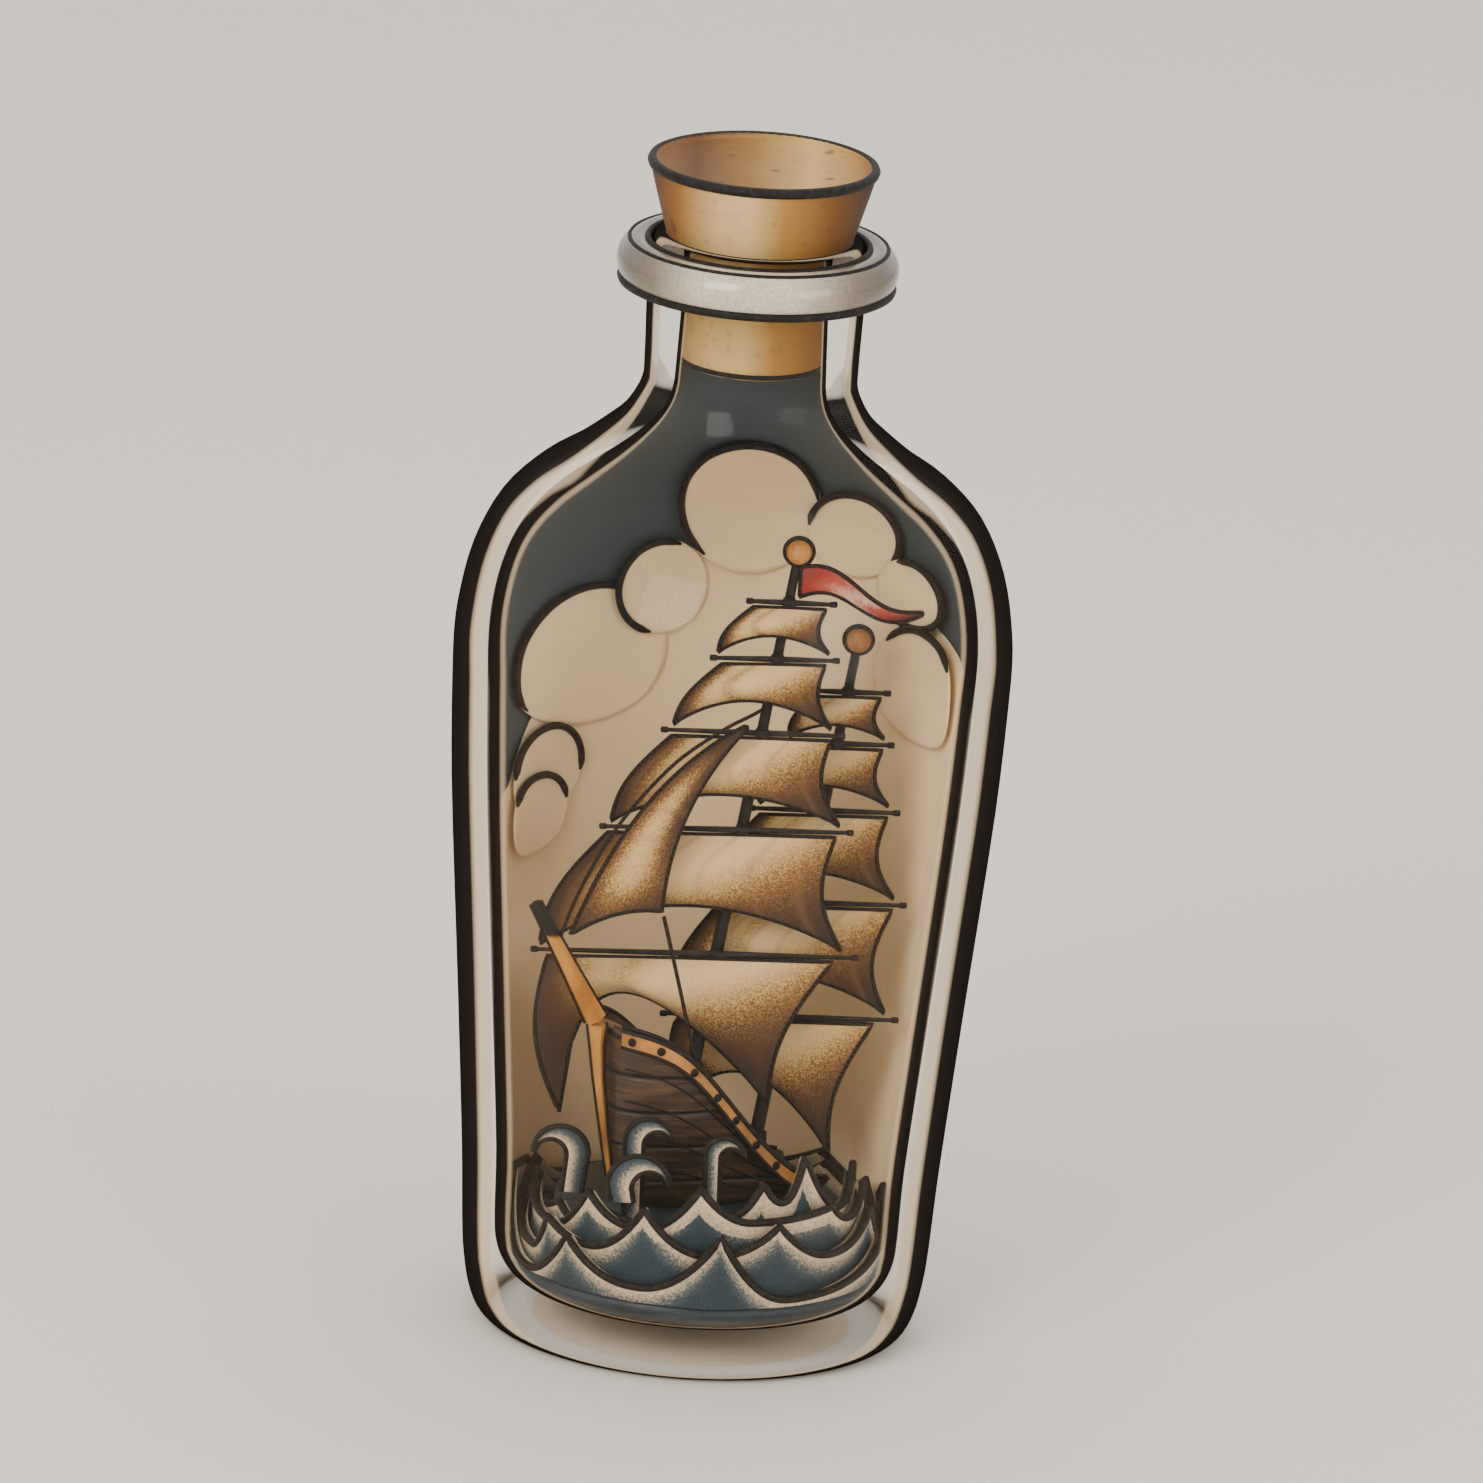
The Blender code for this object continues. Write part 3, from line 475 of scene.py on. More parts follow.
def look(name):
    if name not in LOOKS:
        makers = {
            "glass": lambda: glass_look("glass_outer", [(0.0, 0.0), (0.515, 0.0), (0.54, 0.40), (0.61, 0.50),
                                                        (0.67, 0.98), (1.0, 1.0)], 0.008, 0.67),
            "glass_inner": lambda: glass_look("glass_bore", [(0.0, 0.0), (0.62, 0.02), (0.70, 0.98),
                                                             (1.0, 1.0)], 0.0, 0.70),
            "glass_base": lambda: glass_look("glass_foot", [(0.0, 0.08), (0.6, 0.26), (0.84, 0.40),
                                                            (0.91, 1.0)], 0.004, 0.89),
            "ring": ring_look, "cork": cork_look, "waves": wave_look,
            "water": water_look, "pennant": pennant_look, "hull": hull_look, "deck": deck_look,
            "gold": gold_look, "sprit": sprit_look, "rope": rope_look,
            "sky": lambda: paper_look("sky_wash", (0.052, 0.076, 0.094), (0.034, 0.052, 0.067)),
            "cloud": lambda: paper_look("cloud_wash", (0.96, 0.77, 0.49), (0.90, 0.68, 0.41), 0.3),
            "sail": lambda: sail_look("sail_canvas"),
            "spar": lambda: dark_look("spar_black"),
            "line": lambda: dark_look("ink_line", (0.010, 0.008, 0.007), 0.6, 900.0, 0.1),
        }
        LOOKS[name] = makers[name]()
    return LOOKS[name]


# ---------------------------------------------------------------- mesh helpers
def add_piece(name, verts, faces, finish, body, paint=None, smooth=True):
    """A new mesh piece from points in millimetres."""
    mesh = bpy.data.meshes.new(name)
    mesh.from_pydata([tuple(Vector(v) * MM) for v in verts], [], faces)
    mesh.materials.append(look(finish))
    if smooth:
        mesh.shade_smooth()
    if paint is not None:
        layer = mesh.color_attributes.new("paint", "FLOAT_COLOR", "POINT")
        for slot, (red, green) in zip(layer.data, paint):
            slot.color = (red, green, 0.0, 1.0)
    item = bpy.data.objects.new(name, mesh)
    bpy.context.scene.collection.objects.link(item)
    if body:
        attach(item, body)
    return item


def grid_sheet(columns, rows, place, thickness, paint=None):
    """Points and faces of a closed thin sheet whose middle surface is place(u, v)."""
    middle = []
    for j in range(rows + 1):
        for i in range(columns + 1):
            middle.append(Vector(place(i / columns, j / rows)))
    wide = columns + 1

    def at(i, j):
        return middle[max(0, min(rows, j)) * wide + max(0, min(columns, i))]
    front, rear, tints = [], [], []
    for j in range(rows + 1):
        for i in range(columns + 1):
            normal = (at(i + 1, j) - at(i - 1, j)).cross(at(i, j + 1) - at(i, j - 1)).normalized()
            front.append(at(i, j) + normal * thickness / 2)
            rear.append(at(i, j) - normal * thickness / 2)
            tints.append(paint(i / columns, j / rows) if paint else (0.0, 0.0))
    count = len(front)
    faces = []
    for j in range(rows):
        for i in range(columns):
            a = j * wide + i
            quad = (a, a + 1, a + 1 + wide, a + wide)
            faces.append(quad)
            faces.append(tuple(count + k for k in reversed(quad)))
    edge = [(i, 0) for i in range(columns)] + [(columns, j) for j in range(rows)]
    edge += [(i, rows) for i in range(columns, 0, -1)] + [(0, j) for j in range(rows, 0, -1)]
    for (i0, j0), (i1, j1) in zip(edge, edge[1:] + edge[:1]):
        a, b = j0 * wide + i0, j1 * wide + i1
        faces.append((b, a, a + count, b + count))
    return front + rear, faces, tints + tints


def tube_mesh(points, radius, sides=8, closed=False):
    """Points and faces of a round line along points; radius is a number or one per point."""
    points = [Vector(p) for p in points]
    count = len(points)
    radii = radius if isinstance(radius, (list, tuple)) else [radius] * count
    verts, faces = [], []
    frame_up = None
    for index, point in enumerate(points):
        before = points[index - 1] if index or closed else point
        after = points[(index + 1) % count] if index < count - 1 or closed else point
        along = (after - before).normalized()
        if frame_up is None:
            frame_up = along.orthogonal().normalized()
        frame_up = (frame_up - along * frame_up.dot(along)).normalized()
        side = along.cross(frame_up)
        for k in range(sides):
            turn = 2 * math.pi * k / sides
            verts.append(point + (frame_up * math.cos(turn) + side * math.sin(turn)) * radii[index])
    spans = count if closed else count - 1
    for index in range(spans):
        low, high = index * sides, ((index + 1) % count) * sides
        for k in range(sides):
            step = (k + 1) % sides
            faces.append((low + k, low + step, high + step, high + k))
    if not closed:
        faces.append(tuple(reversed(range(sides))))
        faces.append(tuple(range((count - 1) * sides, count * sides)))
    return verts, faces


def line(name, points, radius, finish, body, sides=8, closed=False):
    verts, faces = tube_mesh(points, radius, sides, closed)
    return add_piece(name, verts, faces, finish, body)


def join(parts):
    """One list of points and faces from several."""
    verts, faces = [], []
    for some, more in parts:
        base = len(verts)
        verts += some
        faces += [tuple(base + k for k in face) for face in more]
    return verts, faces


def turned_ring(radius, z, thickness, sides=8, steps=72):
    circle = [(radius * math.cos(2 * math.pi * k / steps), radius * math.sin(2 * math.pi * k / steps), z)
              for k in range(steps)]
    return tube_mesh(circle, thickness, sides, True)


def interpolate(table, x):
    if x <= table[0][0]:
        return table[0][1]
    for (x0, y0), (x1, y1) in zip(table, table[1:]):
        if x <= x1:
            return y0 + (y1 - y0) * (x - x0) / (x1 - x0)
    return table[-1][1]


def wall_point(angle, z, inset):
    radius = interpolate(INNER, z) - inset
    return Vector((radius * math.sin(angle), radius * math.cos(angle), z))


def finish_node(name, finish):
    """Gives a CAD node its finished material."""
    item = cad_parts[name]
    item.data.materials.clear()
    item.data.materials.append(look(finish))
    return item


# ---------------------------------------------------------------- bottle


def smooth_profile(profile, steps=4):
    """The same outline with rounded runs between its points; a doubled point stays sharp."""
    run = []
    count = len(profile)
    for index in range(count - 1):
        (x0, z0), (x1, z1) = profile[index], profile[index + 1]
        before = profile[max(0, index - 1)]
        after = profile[min(count - 1, index + 2)]
        if math.hypot(x1 - x0, z1 - z0) < 0.01:
            continue
        for k in range(steps):
            t = k / steps
            blend_in = t * t * (3 - 2 * t)
            straight = (x0 + (x1 - x0) * t, z0 + (z1 - z0) * t)
            ends = ((x1 - before[0]) / 2, (z1 - before[1]) / 2, (after[0] - x0) / 2, (after[1] - z0) / 2)
            limit = math.hypot(x1 - x0, z1 - z0)
            scale_in = min(1.0, limit / (math.hypot(ends[0], ends[1]) + 1e-9))
            scale_out = min(1.0, limit / (math.hypot(ends[2], ends[3]) + 1e-9))
            h10 = t * (1 - t) ** 2
            h11 = -t * t * (1 - t)
            px = x0 + (x1 - x0) * blend_in + h10 * ends[0] * scale_in + h11 * ends[2] * scale_out
            pz = z0 + (z1 - z0) * blend_in + h10 * ends[1] * scale_in + h11 * ends[3] * scale_out
            run.append((max(0.0, px), pz) if index else straight)
    run.append(profile[-1])
    return run


def turned_piece(name, profile, finish, body, closed=False, steps=144, smooth_steps=4):
    """A fine turned solid that stands for a CAD node of the same outline."""
    outline = smooth_profile(profile + profile[:1] if closed else profile, smooth_steps)
    if closed:
        outline = outline[:-1]
    verts, faces, rings = [], [], []
    for radius, z in outline:
        if radius < 0.001:
            rings.append([len(verts)] * steps)
            verts.append((0.0, 0.0, z))
            continue
        rings.append(list(range(len(verts), len(verts) + steps)))
        for k in range(steps):
            turn = 2 * math.pi * k / steps
            verts.append((radius * math.cos(turn), radius * math.sin(turn), z))
    pairs = list(zip(rings, rings[1:])) + ([(rings[-1], rings[0])] if closed else [])
    for upper, lower in pairs:
        for k in range(steps):
            step = (k + 1) % steps
            corners = []
            for index in (upper[k], lower[k], lower[step], upper[step]):
                if index not in corners:
                    corners.append(index)
            if len(corners) > 2:
                faces.append(tuple(corners))
    piece = add_piece(name + "_" + finish, verts, faces, finish, body)
    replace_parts(piece, name)
    return piece


OUTER = [(18.7, 197.0), (18.7, 173.0), (19.5, 169.8), (22.0, 165.6), (26.0, 161.9),
         (31.0, 157.9), (37.1, 153.7), (42.7, 147.7), (46.7, 138.9), (48.7, 128.6),
         (49.0, 120.4), (47.9, 97.2), (44.6, 59.0), (42.2, 30.0), (41.1, 13.0),
         (40.0, 6.0), (38.6, 2.2), (36.8, 0.4), (35.0, 0.0), (28.0, 0.0), (23.0, 1.6), (0.0, 2.6)]
BORE = [(0.0, 7.0), (23.0, 7.0), (30.8, 7.6), (34.0, 10.0), (35.5, 14.5), (36.1, 29.6),
        (38.4, 57.0), (41.4, 93.2), (42.9, 121.3), (42.6, 129.6), (40.8, 137.8), (37.9, 143.9),
        (33.2, 149.3), (27.8, 153.6), (22.3, 157.9), (18.0, 161.9), (15.3, 165.2),
        (13.8, 168.4), (13.2, 172.5), (13.2, 197.0)]
LIP = [(19.0, 196.9), (21.2, 197.4), (23.2, 196.6), (24.5, 194.6), (24.6, 192.4),
       (23.7, 190.3), (21.7, 189.0), (19.0, 188.8)]
CORK = [(0.0, 209.9), (12.4, 210.0), (17.3, 210.7), (18.8, 211.7), (19.5, 211.3), (19.7, 210.2),
        (16.2, 198.0), (15.5, 197.3), (12.8, 197.3), (12.6, 176.2), (11.8, 175.2), (0.0, 175.2)]
SEA = [(0.0, 22.0), (25.3, 22.0), (25.3, 12.0), (34.1, 12.0), (33.2, 10.2), (30.4, 8.2), (23.0, 7.4),
       (0.0, 7.4)]


def build_bottle():
    bottle = turned_piece("bottle_glass", BORE + OUTER, "glass", ROOT)
    bottle.data.materials.append(look("glass_inner"))
    bottle.data.materials.append(look("glass_base"))
    for face in bottle.data.polygons:
        middle = face.center / MM
        radius = math.hypot(middle.x, middle.y)
        level = abs(face.normal.z)
        if middle.z < 12.0 and level > 0.6 and (radius < 29.0 or (middle.z < 1.0 and radius < 34.9)):
            face.material_index = 2
        elif radius < interpolate(INNER, middle.z) + 1.5:
            face.material_index = 1
    turned_piece("lip_ring", LIP, "ring", ROOT, closed=True)
    turned_piece("cork_stopper", CORK, "cork", "cork", smooth_steps=3)
    turned_piece("sea_base", SEA, "water", ROOT, smooth_steps=1)
    for name, finish in (("deck", "deck"),
                         ("stem_post", "gold"), ("bowsprit", "sprit"), ("fore_step", "spar"),
                         ("main_step", "spar"), ("fore_mast", "spar"), ("main_mast", "spar"),
                         ("fore_truck", "gold"), ("main_truck", "gold")):
        finish_node(name, finish)
    for prefix in ("fore", "main"):
        for kind in ("course", "topsail", "topgallant", "royal", "skysail"):
            finish_node(f"{prefix}_{kind}_yard", "spar")
    rims = join([turned_ring(19.4, 211.0, 0.95), turned_ring(15.95, 198.0, 0.6),
                 turned_ring(12.45, 176.0, 0.5)])
    add_piece("cork_dark_rims", *rims, "line", "cork")
    trims = join([turned_ring(23.6, 190.0, 0.85), turned_ring(19.4, 197.0, 0.6),
                  turned_ring(22.6, 196.9, 0.4)])
    add_piece("ring_dark_bands", *trims, "line", ROOT)


# ---------------------------------------------------------------- clouds
CLOUDS = [
    ("cloud_centre", 1.3, 139.5, 12.5, 14.0, 2.65, -0.6, 0.0, 232, 9),
    ("cloud_left_small", -13.2, 122.9, 7.9, 8.7, 2.75, -0.5, 0.0, 258, 68),
    ("cloud_left_big", -25.1, 111.5, 13.3, 12.8, 2.0, 0.0, 0.0, 216, 62),
    ("cloud_left_low", -31.5, 92.4, 6.2, 8.0, 2.4, 0.0, 0.35, 176, -12),
    ("cloud_left_foot", -32.8, 85.2, 5.4, 7.0, 3.1, 0.0, 0.0, 150, 12),
    ("cloud_right_high", 20.0, 136.1, 8.3, 8.4, 2.45, -0.4, 0.0, 178, -34),
    ("cloud_right_small", 30.5, 127.9, 5.8, 6.4, 2.85, 0.0, 0.25, 118, -118),
    ("cloud_right_big", 33.0, 112.1, 8.0, 10.3, 2.9, 0.0, 0.4, 142, 38),
]


EDGE_PULL = 0.965  # how far out on a cloud its edge line runs


def cloud_point(spec, side, rise, lift=0.0):
    _name, x, z, half_width, half_height, inset, across, up = spec[:8]
    height = z + half_height * rise
    depth = inset + across * side + up * rise + lift
    radius = interpolate(INNER, height) - depth
    share = (x + half_width * side) / radius
    size = abs(share)
    if size > 0.9:
        size = 0.9 + 0.1 * (1.0 - math.exp(-(size - 0.9) / 0.1))
    return wall_point(math.asin(math.copysign(size, share)), height, depth)


SKY_LEVELS = [14.0, 57.0, 93.2, 121.3, 129.6, 137.8, 143.5, 148.5, 152.6, 156.9, 161.0, 164.4, 167.9, 173.8]
BANK_TOP = [(-90, 90), (-71, 91.8), (-61, 100.8), (-32, 119.1), (-15, 127.3), (1, 138.0),
            (24, 140.7), (45, 132.0), (59, 123.1), (84, 118.7), (90, 110)]


def build_lining():
    def sky(u, v):
        level = v * (len(SKY_LEVELS) - 1)
        low = min(int(level + 1e-6), len(SKY_LEVELS) - 2)
        z = SKY_LEVELS[low] + (SKY_LEVELS[low + 1] - SKY_LEVELS[low]) * (level - low)
        return wall_point(math.radians(92.0 * (2 * u - 1)), z, 0.65)

    def bank(u, v):
        angle = 90.0 * (2 * u - 1)
        foot = 15.0
        z = foot + (interpolate(BANK_TOP, angle) - foot) * (1.0 - (1.0 - v) ** 1.8)
        return wall_point(math.radians(angle), z, 1.1 + 0.25 * min(1.0, max(0.0, (z - 30.0) / 10.0)))
    for name, place, size, thickness, finish in (("sky_backdrop", sky, (72, 52), 0.4, "sky"),
                                                 ("cloud_bank", bank, (72, 30), 0.3, "cloud")):
        verts, faces, tints = grid_sheet(size[0], size[1], place, thickness)
        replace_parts(add_piece(name + "_sheet", verts, faces, finish, ROOT, tints), name)


def build_clouds():
    build_lining()
    for spec in CLOUDS:
        name = spec[0]

        def puff(u, v, spec=spec):
            a, b = 2 * u - 1, 2 * v - 1
            return cloud_point(spec, a * math.sqrt(1 - b * b / 2), b * math.sqrt(1 - a * a / 2))
        verts, faces, _tints = grid_sheet(24, 24, puff, 0.34)
        piece = add_piece(name + "_puff", verts, faces, "cloud", ROOT)
        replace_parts(piece, name)
        first, last = spec[8], spec[9]
        count = max(12, int(abs(first - last) / 4))
        points, radii = [], []
        for k in range(count + 1):
            turn = math.radians(first + (last - first) * k / count)
            points.append(cloud_point(spec, EDGE_PULL * math.cos(turn), EDGE_PULL * math.sin(turn), 0.35))
            end = min(1.0, k / 3.0, (count - k) / 3.0)
            radii.append(0.24 + 0.44 * end)
        line(name + "_edge", points, radii, "line", ROOT)


# ---------------------------------------------------------------- sea
ROWS = [
    ("wave_row_front", 32.0, 33.9, [(-136, 18), (-114, 23), (-93, 25.0), (-60, 12.9),
                                   (-42, 21.5), (-17, 15.1), (8, 25.6), (31, 13.6), (80, 19.0),
                                   (88, 14.6), (104, 24), (114, 20), (140, 24), (180, 18)]),
    ("wave_row_second", 29.8, 31.7, [(-140, 18), (-112, 24), (-65, 15.9), (-56, 22.5),
                                   (-37, 20.1), (-17, 28.8), (5, 21.3), (28, 26.5), (51, 19.7),
                                   (76, 24.5), (88, 19.0), (110, 24), (140, 18), (180, 22)]),
    ("wave_row_third", 27.6, 29.5, [(-130, 18), (-100, 24), (-61, 20.5), (-41, 28.9),
                                   (-21, 24.3), (1, 32.9), (21, 26.7), (54, 27.4), (68, 23.9),
                                   (84, 27.9), (100, 21.5), (130, 24), (165, 18), (200, 22)]),
    ("wave_row_inner", 25.7, 27.3, [(-150, 23), (-120, 18), (-64, 23.5), (-54, 22.0),
                                   (-37, 25.6), (-16, 24.3), (0, 28.9), (11, 27.0), (25, 33.1),
                                   (34, 29.2), (43, 36.9), (69, 25.4), (88, 30.5), (110, 19),
                                   (150, 23), (180, 18)]),
]
BREAKERS = [
    ("breaker_port_bow", -9.1, -17.6, 37.4, 4.3, 22.3, 1),
    ("breaker_starboard_bow", -24.6, -8.6, 31.7, 4.9, 24.6, -1),
    ("breaker_middle", -10.5, -22.0, 30.7, 5.5, 27.6, 1),
    ("breaker_midship", 4.3, -16.0, 35.2, 3.4, 22.3, 1),
]


def crest_height(keys, angle):
    laps = [(a - 360, z) for a, z in keys] + keys + [(a + 360, z) for a, z in keys]
    for (a0, z0), (a1, z1) in zip(laps, laps[1:]):
        if a0 <= angle <= a1:
            part = (angle - a0) / (a1 - a0)
            if z0 > z1:
                return z1 + (z0 - z1) * (1.0 - part) ** 2.2
            return z0 + (z1 - z0) * part ** 2.2
    return keys[0][1]


def build_row(name, inner, outer, keys):
    """A ring of waves: its front leans out a little under each crest; its paint fades down from it."""
    angles = sorted(set(range(-180, 180, 2)) | {(a + 180) % 360 - 180 for a, _z in keys})
    levels = 10
    verts, tints, crest = [], [], []
    for angle in angles:
        turn = math.radians(angle)
        across, front = math.sin(turn), -math.cos(turn)
        top = crest_height(keys, angle)
        foot = 12.35
        for k in range(levels + 1):
            share = (k / levels) ** 1.4
            z = top - (top - foot) * share
            scoop = 0.45 * math.sin(math.pi * min(1.0, (top - z) / 9.0))
            verts.append(((outer - scoop) * across, (outer - scoop) * front, z))
            tints.append((min(1.0, (top - z) / 6.5), 0.0))
        verts.append((inner * across, inner * front, top))
        tints.append((0.15, 0.0))
        verts.append((inner * across, inner * front, foot))
        tints.append((1.0, 0.0))
        crest.append(((outer - 0.35) * across, (outer - 0.35) * front, top))
    ring = levels + 3
    faces = []
    for index in range(len(angles)):
        a, b = index * ring, ((index + 1) % len(angles)) * ring
        for k in range(ring):
            step = (k + 1) % ring
            faces.append((a + k, b + k, b + step, a + step))
    piece = add_piece(name + "_painted", verts, faces, "waves", ROOT, tints, smooth=False)
    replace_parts(piece, name)
    line(name + "_edge", crest, 0.72, "line", ROOT, closed=True)


def build_breaker(name, x, y, z, radius, foot, facing):
    """A curling wave between two paired arcs, painted from its dark back to its pale inner lip."""
    rows = 26
    verts, tints, faces = [], [], []
    drop = foot - z
    spine = []
    for k in range(rows + 1):
        share = k / rows
        if share < 0.3:
            part = share / 0.3
            spine.append(((-0.84 * radius - 0.16 * radius * part, drop * (1 - part)),
                          (-0.12 * radius * (1 - part) + (-0.22 * radius) * part,
                           drop + (-0.10 * radius - drop) * part)))
        else:
            part = (share - 0.3) / 0.7
            outer_turn = math.radians(180 - 180 * part)
            inner_turn = math.radians(187 - 147 * part)
            spine.append(((radius * math.cos(outer_turn), radius * math.sin(outer_turn)),
                          (radius * (0.38 + 0.60 * math.cos(inner_turn)),
                           radius * (-0.10 + 0.60 * math.sin(inner_turn)))))
    spine[-1] = ((radius * 1.0, -0.02 * radius), (radius * 0.96, -0.02 * radius))
    across = 6
    for depth in (-1.0, 1.0):
        for outer, inner in spine:
            for i in range(across + 1):
                part = i / across
                px = outer[0] + (inner[0] - outer[0]) * part
                pz = outer[1] + (inner[1] - outer[1]) * part
                crown = 0.25 * math.sin(math.pi * part)
                verts.append((x + facing * px, y + depth * (0.8 + crown), z + pz))
                tints.append((max(0.0, 1.0 - 1.15 * part), 0.0))
    wide = across + 1
    count = (rows + 1) * wide
    for k in range(rows):
        for i in range(across):
            a = k * wide + i
            faces.append((a, a + 1, a + 1 + wide, a + wide))
            faces.append((count + a, count + a + wide, count + a + 1 + wide, count + a + 1))
        for i in (0, across):
            a, b = k * wide + i, (k + 1) * wide + i
            faces.append((a, b, b + count, a + count) if i == 0 else (b, a, a + count, b + count))
    for k in (0, rows):
        for i in range(across):
            a = k * wide + i
            faces.append((a, a + 1, a + 1 + count, a + count))
    piece = add_piece(name + "_painted", verts, faces, "waves", ROOT, tints)
    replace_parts(piece, name)
    rim = [(x + facing * o[0], y - 0.7, z + o[1]) for o, _i in spine]
    rim += [(x + facing * i[0], y - 0.7, z + i[1]) for _o, i in reversed(spine)]
    line(name + "_edge", rim, 0.5, "line", ROOT)


def build_sea():
    for row in ROWS:
        build_row(*row)
    for breaker in BREAKERS:
        build_breaker(*breaker)


# ---------------------------------------------------------------- ship
def half_beam(s):
    share = min(1.0, max(0.0, s) / 13.0)
    width = 11.0 * (1.0 - (1.0 - share) ** 2.6) ** (1.0 / 2.6)
    if s > 26.0:
        width -= 3.2 * ((s - 26.0) / 20.0) ** 2
    return width


def rail_height(s):
    return 25.3 + 31.2 * (0.5 + 0.5 * math.cos(math.pi * min(s, 46.0) / 46.0)) ** 1.25


def ship_point(s, side, z):
    return STEM_HEAD + AFT * s + PORT * side + Vector((0.0, 0.0, z))


def strake_point(s, side, off, drop):
    slope = (half_beam(s + 0.05) - half_beam(s - 0.05)) / 0.1
    length = math.hypot(1.0, slope)
    return ship_point(s - slope * off / length, side * (half_beam(s) + off / length), rail_height(s) - drop)


def hull_width(s, level):
    low = 0.25 + 0.38 * min(1.0, s / 16.0)
    return half_beam(s) * (low + (1.0 - low) * level ** 0.9)


def loft_piece(name, sections, finish, body, replaced, smooth=True):
    count = len(sections[0])
    verts = [point for section in sections for point in section]
    faces = []
    for index in range(len(sections) - 1):
        a, b = index * count, (index + 1) * count
        for k in range(count):
            step = (k + 1) % count
            faces.append((a + k, a + step, b + step, b + k))
    faces.append(tuple(reversed(range(count))))
    faces.append(tuple(range(len(verts) - count, len(verts))))
    piece = add_piece(name, verts, faces, finish, body, smooth=smooth)
    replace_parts(piece, replaced)
    return piece


def build_hull():
    stations = [0.15 + 42.85 * (k / 60) ** 1.5 for k in range(61)]
    sections = []
    for s in stations:
        height = rail_height(s) - HULL_BOTTOM
        deck_level = 1.0 - 2.2 / height
        side = []
        for k in range(13):
            level = deck_level * k / 12
            rake = 4.7 * (1.0 - level) ** 1.6 * max(0.0, 1.0 - s / 20.0)
            side.append((s + rake, hull_width(s, level), HULL_BOTTOM + height * level))
        sections.append([ship_point(a, b, c) for a, b, c in side]
                        + [ship_point(a, -b, c) for a, b, c in reversed(side)])
    loft_piece("hull_planked", sections, "hull", ROOT, "hull")
    for side, word in ((1, "port"), (-1, "starboard")):
        sections, wales = [], []
        for s in stations:
            top = rail_height(s)
            foot = top - 1.9
            low = hull_width(s, 1.0 - 1.9 / (top - HULL_BOTTOM))
            high = half_beam(s)
            wall = min(0.8, 0.5 * low)
            sections.append([ship_point(s, side * high, top), ship_point(s, side * (high - wall), top),
                             ship_point(s, side * (low - wall), foot), ship_point(s, side * low, foot)])
        loft_piece(f"bulwark_{word}_planked", sections, "hull", ROOT, f"bulwark_{word}", False)
        for k in range(41):
            s = 0.7 + 36.3 * (k / 40) ** 1.7
            wales.append([strake_point(s, side, off, drop)
                          for off, drop in ((0.3, 0.2), (0.9, 0.2), (0.9, 3.2), (0.3, 3.2))])
        loft_piece(f"strake_{word}_gilt", wales, "gold", ROOT, f"strake_{word}", False)
    for side, word in ((1, "port"), (-1, "starboard")):
        stations = [0.7 + 36.3 * (k / 30) ** 1.7 for k in range(31)]
        upper = tube_mesh([strake_point(s, side, 0.75, 0.2) for s in stations], 0.42, 6)
        lower = tube_mesh([strake_point(s, side, 0.75, 3.2) for s in stations], 0.42, 6)
        add_piece(f"strake_{word}_beads", *join([upper, lower]), "line", ROOT)
        ports = []
        for s in (1.6, 5.3, 11.3, 16.4, 20.5, 25.0, 29.4):
            centre = strake_point(s, side, 0.95, 1.75)
            behind = strake_point(s, side, 0.80, 1.75)
            ahead = (centre - behind).normalized()
            points = [behind, centre + ahead * 0.12]
            ports.append(tube_mesh(points, 0.78, 12))
        add_piece(f"ports_{word}", *join(ports), "line", ROOT)
        planks = []
        for level in (0.78, 0.60, 0.42, 0.24):
            run = []
            for k in range(24):
                s = 0.9 + 34.0 * (k / 23) ** 1.4
                beam = half_beam(s)
                low = 0.25 + 0.38 * min(1.0, s / 16.0)
                rake = 4.7 * (1.0 - level) ** 1.6 * max(0.0, 1.0 - s / 20.0)
                width = beam * (low + (1.0 - low) * level ** 0.9)
                top = rail_height(s)
                run.append(ship_point(s + rake, side * (width + 0.05),
                                      HULL_BOTTOM + (top - HULL_BOTTOM) * level))
            planks.append(tube_mesh(run, 0.2, 6))
        add_piece(f"plank_lines_{word}", *join(planks), "line", ROOT)
    butt, tip = Vector((-17.9, -9.6, 53.3)), Vector((-31.6, -15.8, 79.2))
    stem = [ship_point(s, 0.0, z) for s, z in ((-2.1, 56.3), (-1.9, 52.5), (-1.2, 46.5), (0.0, 40.0),
                                               (1.2, 33.5), (3.1, 24.2))]
    beads = []
    for run, radii in (([butt.lerp(tip, k) for k in (0.15, 0.5, 0.8, 1.0)], (2.0, 1.5, 1.15, 1.0)),
                       (stem, (1.7, 1.25, 0.95, 0.8, 0.65, 0.45))):
        across = (run[-1] - run[0]).normalized().cross(Vector((0.0, 1.0, 0.0))).normalized()
        for way in (1.0, -1.0):
            edge = [point + across * way * radius for point, radius in zip(run, radii)]
            beads.append(tube_mesh(edge, 0.36, 6))
    add_piece("bow_beads", *join(beads), "line", ROOT)
    rail = []
    for side in (1, -1):
        rail.append(tube_mesh([ship_point(s, side * (half_beam(s) - 0.35), rail_height(s) + 0.25)
                               for s in [0.6 + 41.5 * (k / 30) ** 1.3 for k in range(31)]], 0.5, 6))
    add_piece("rail_caps", *join(rail), "spar", ROOT)


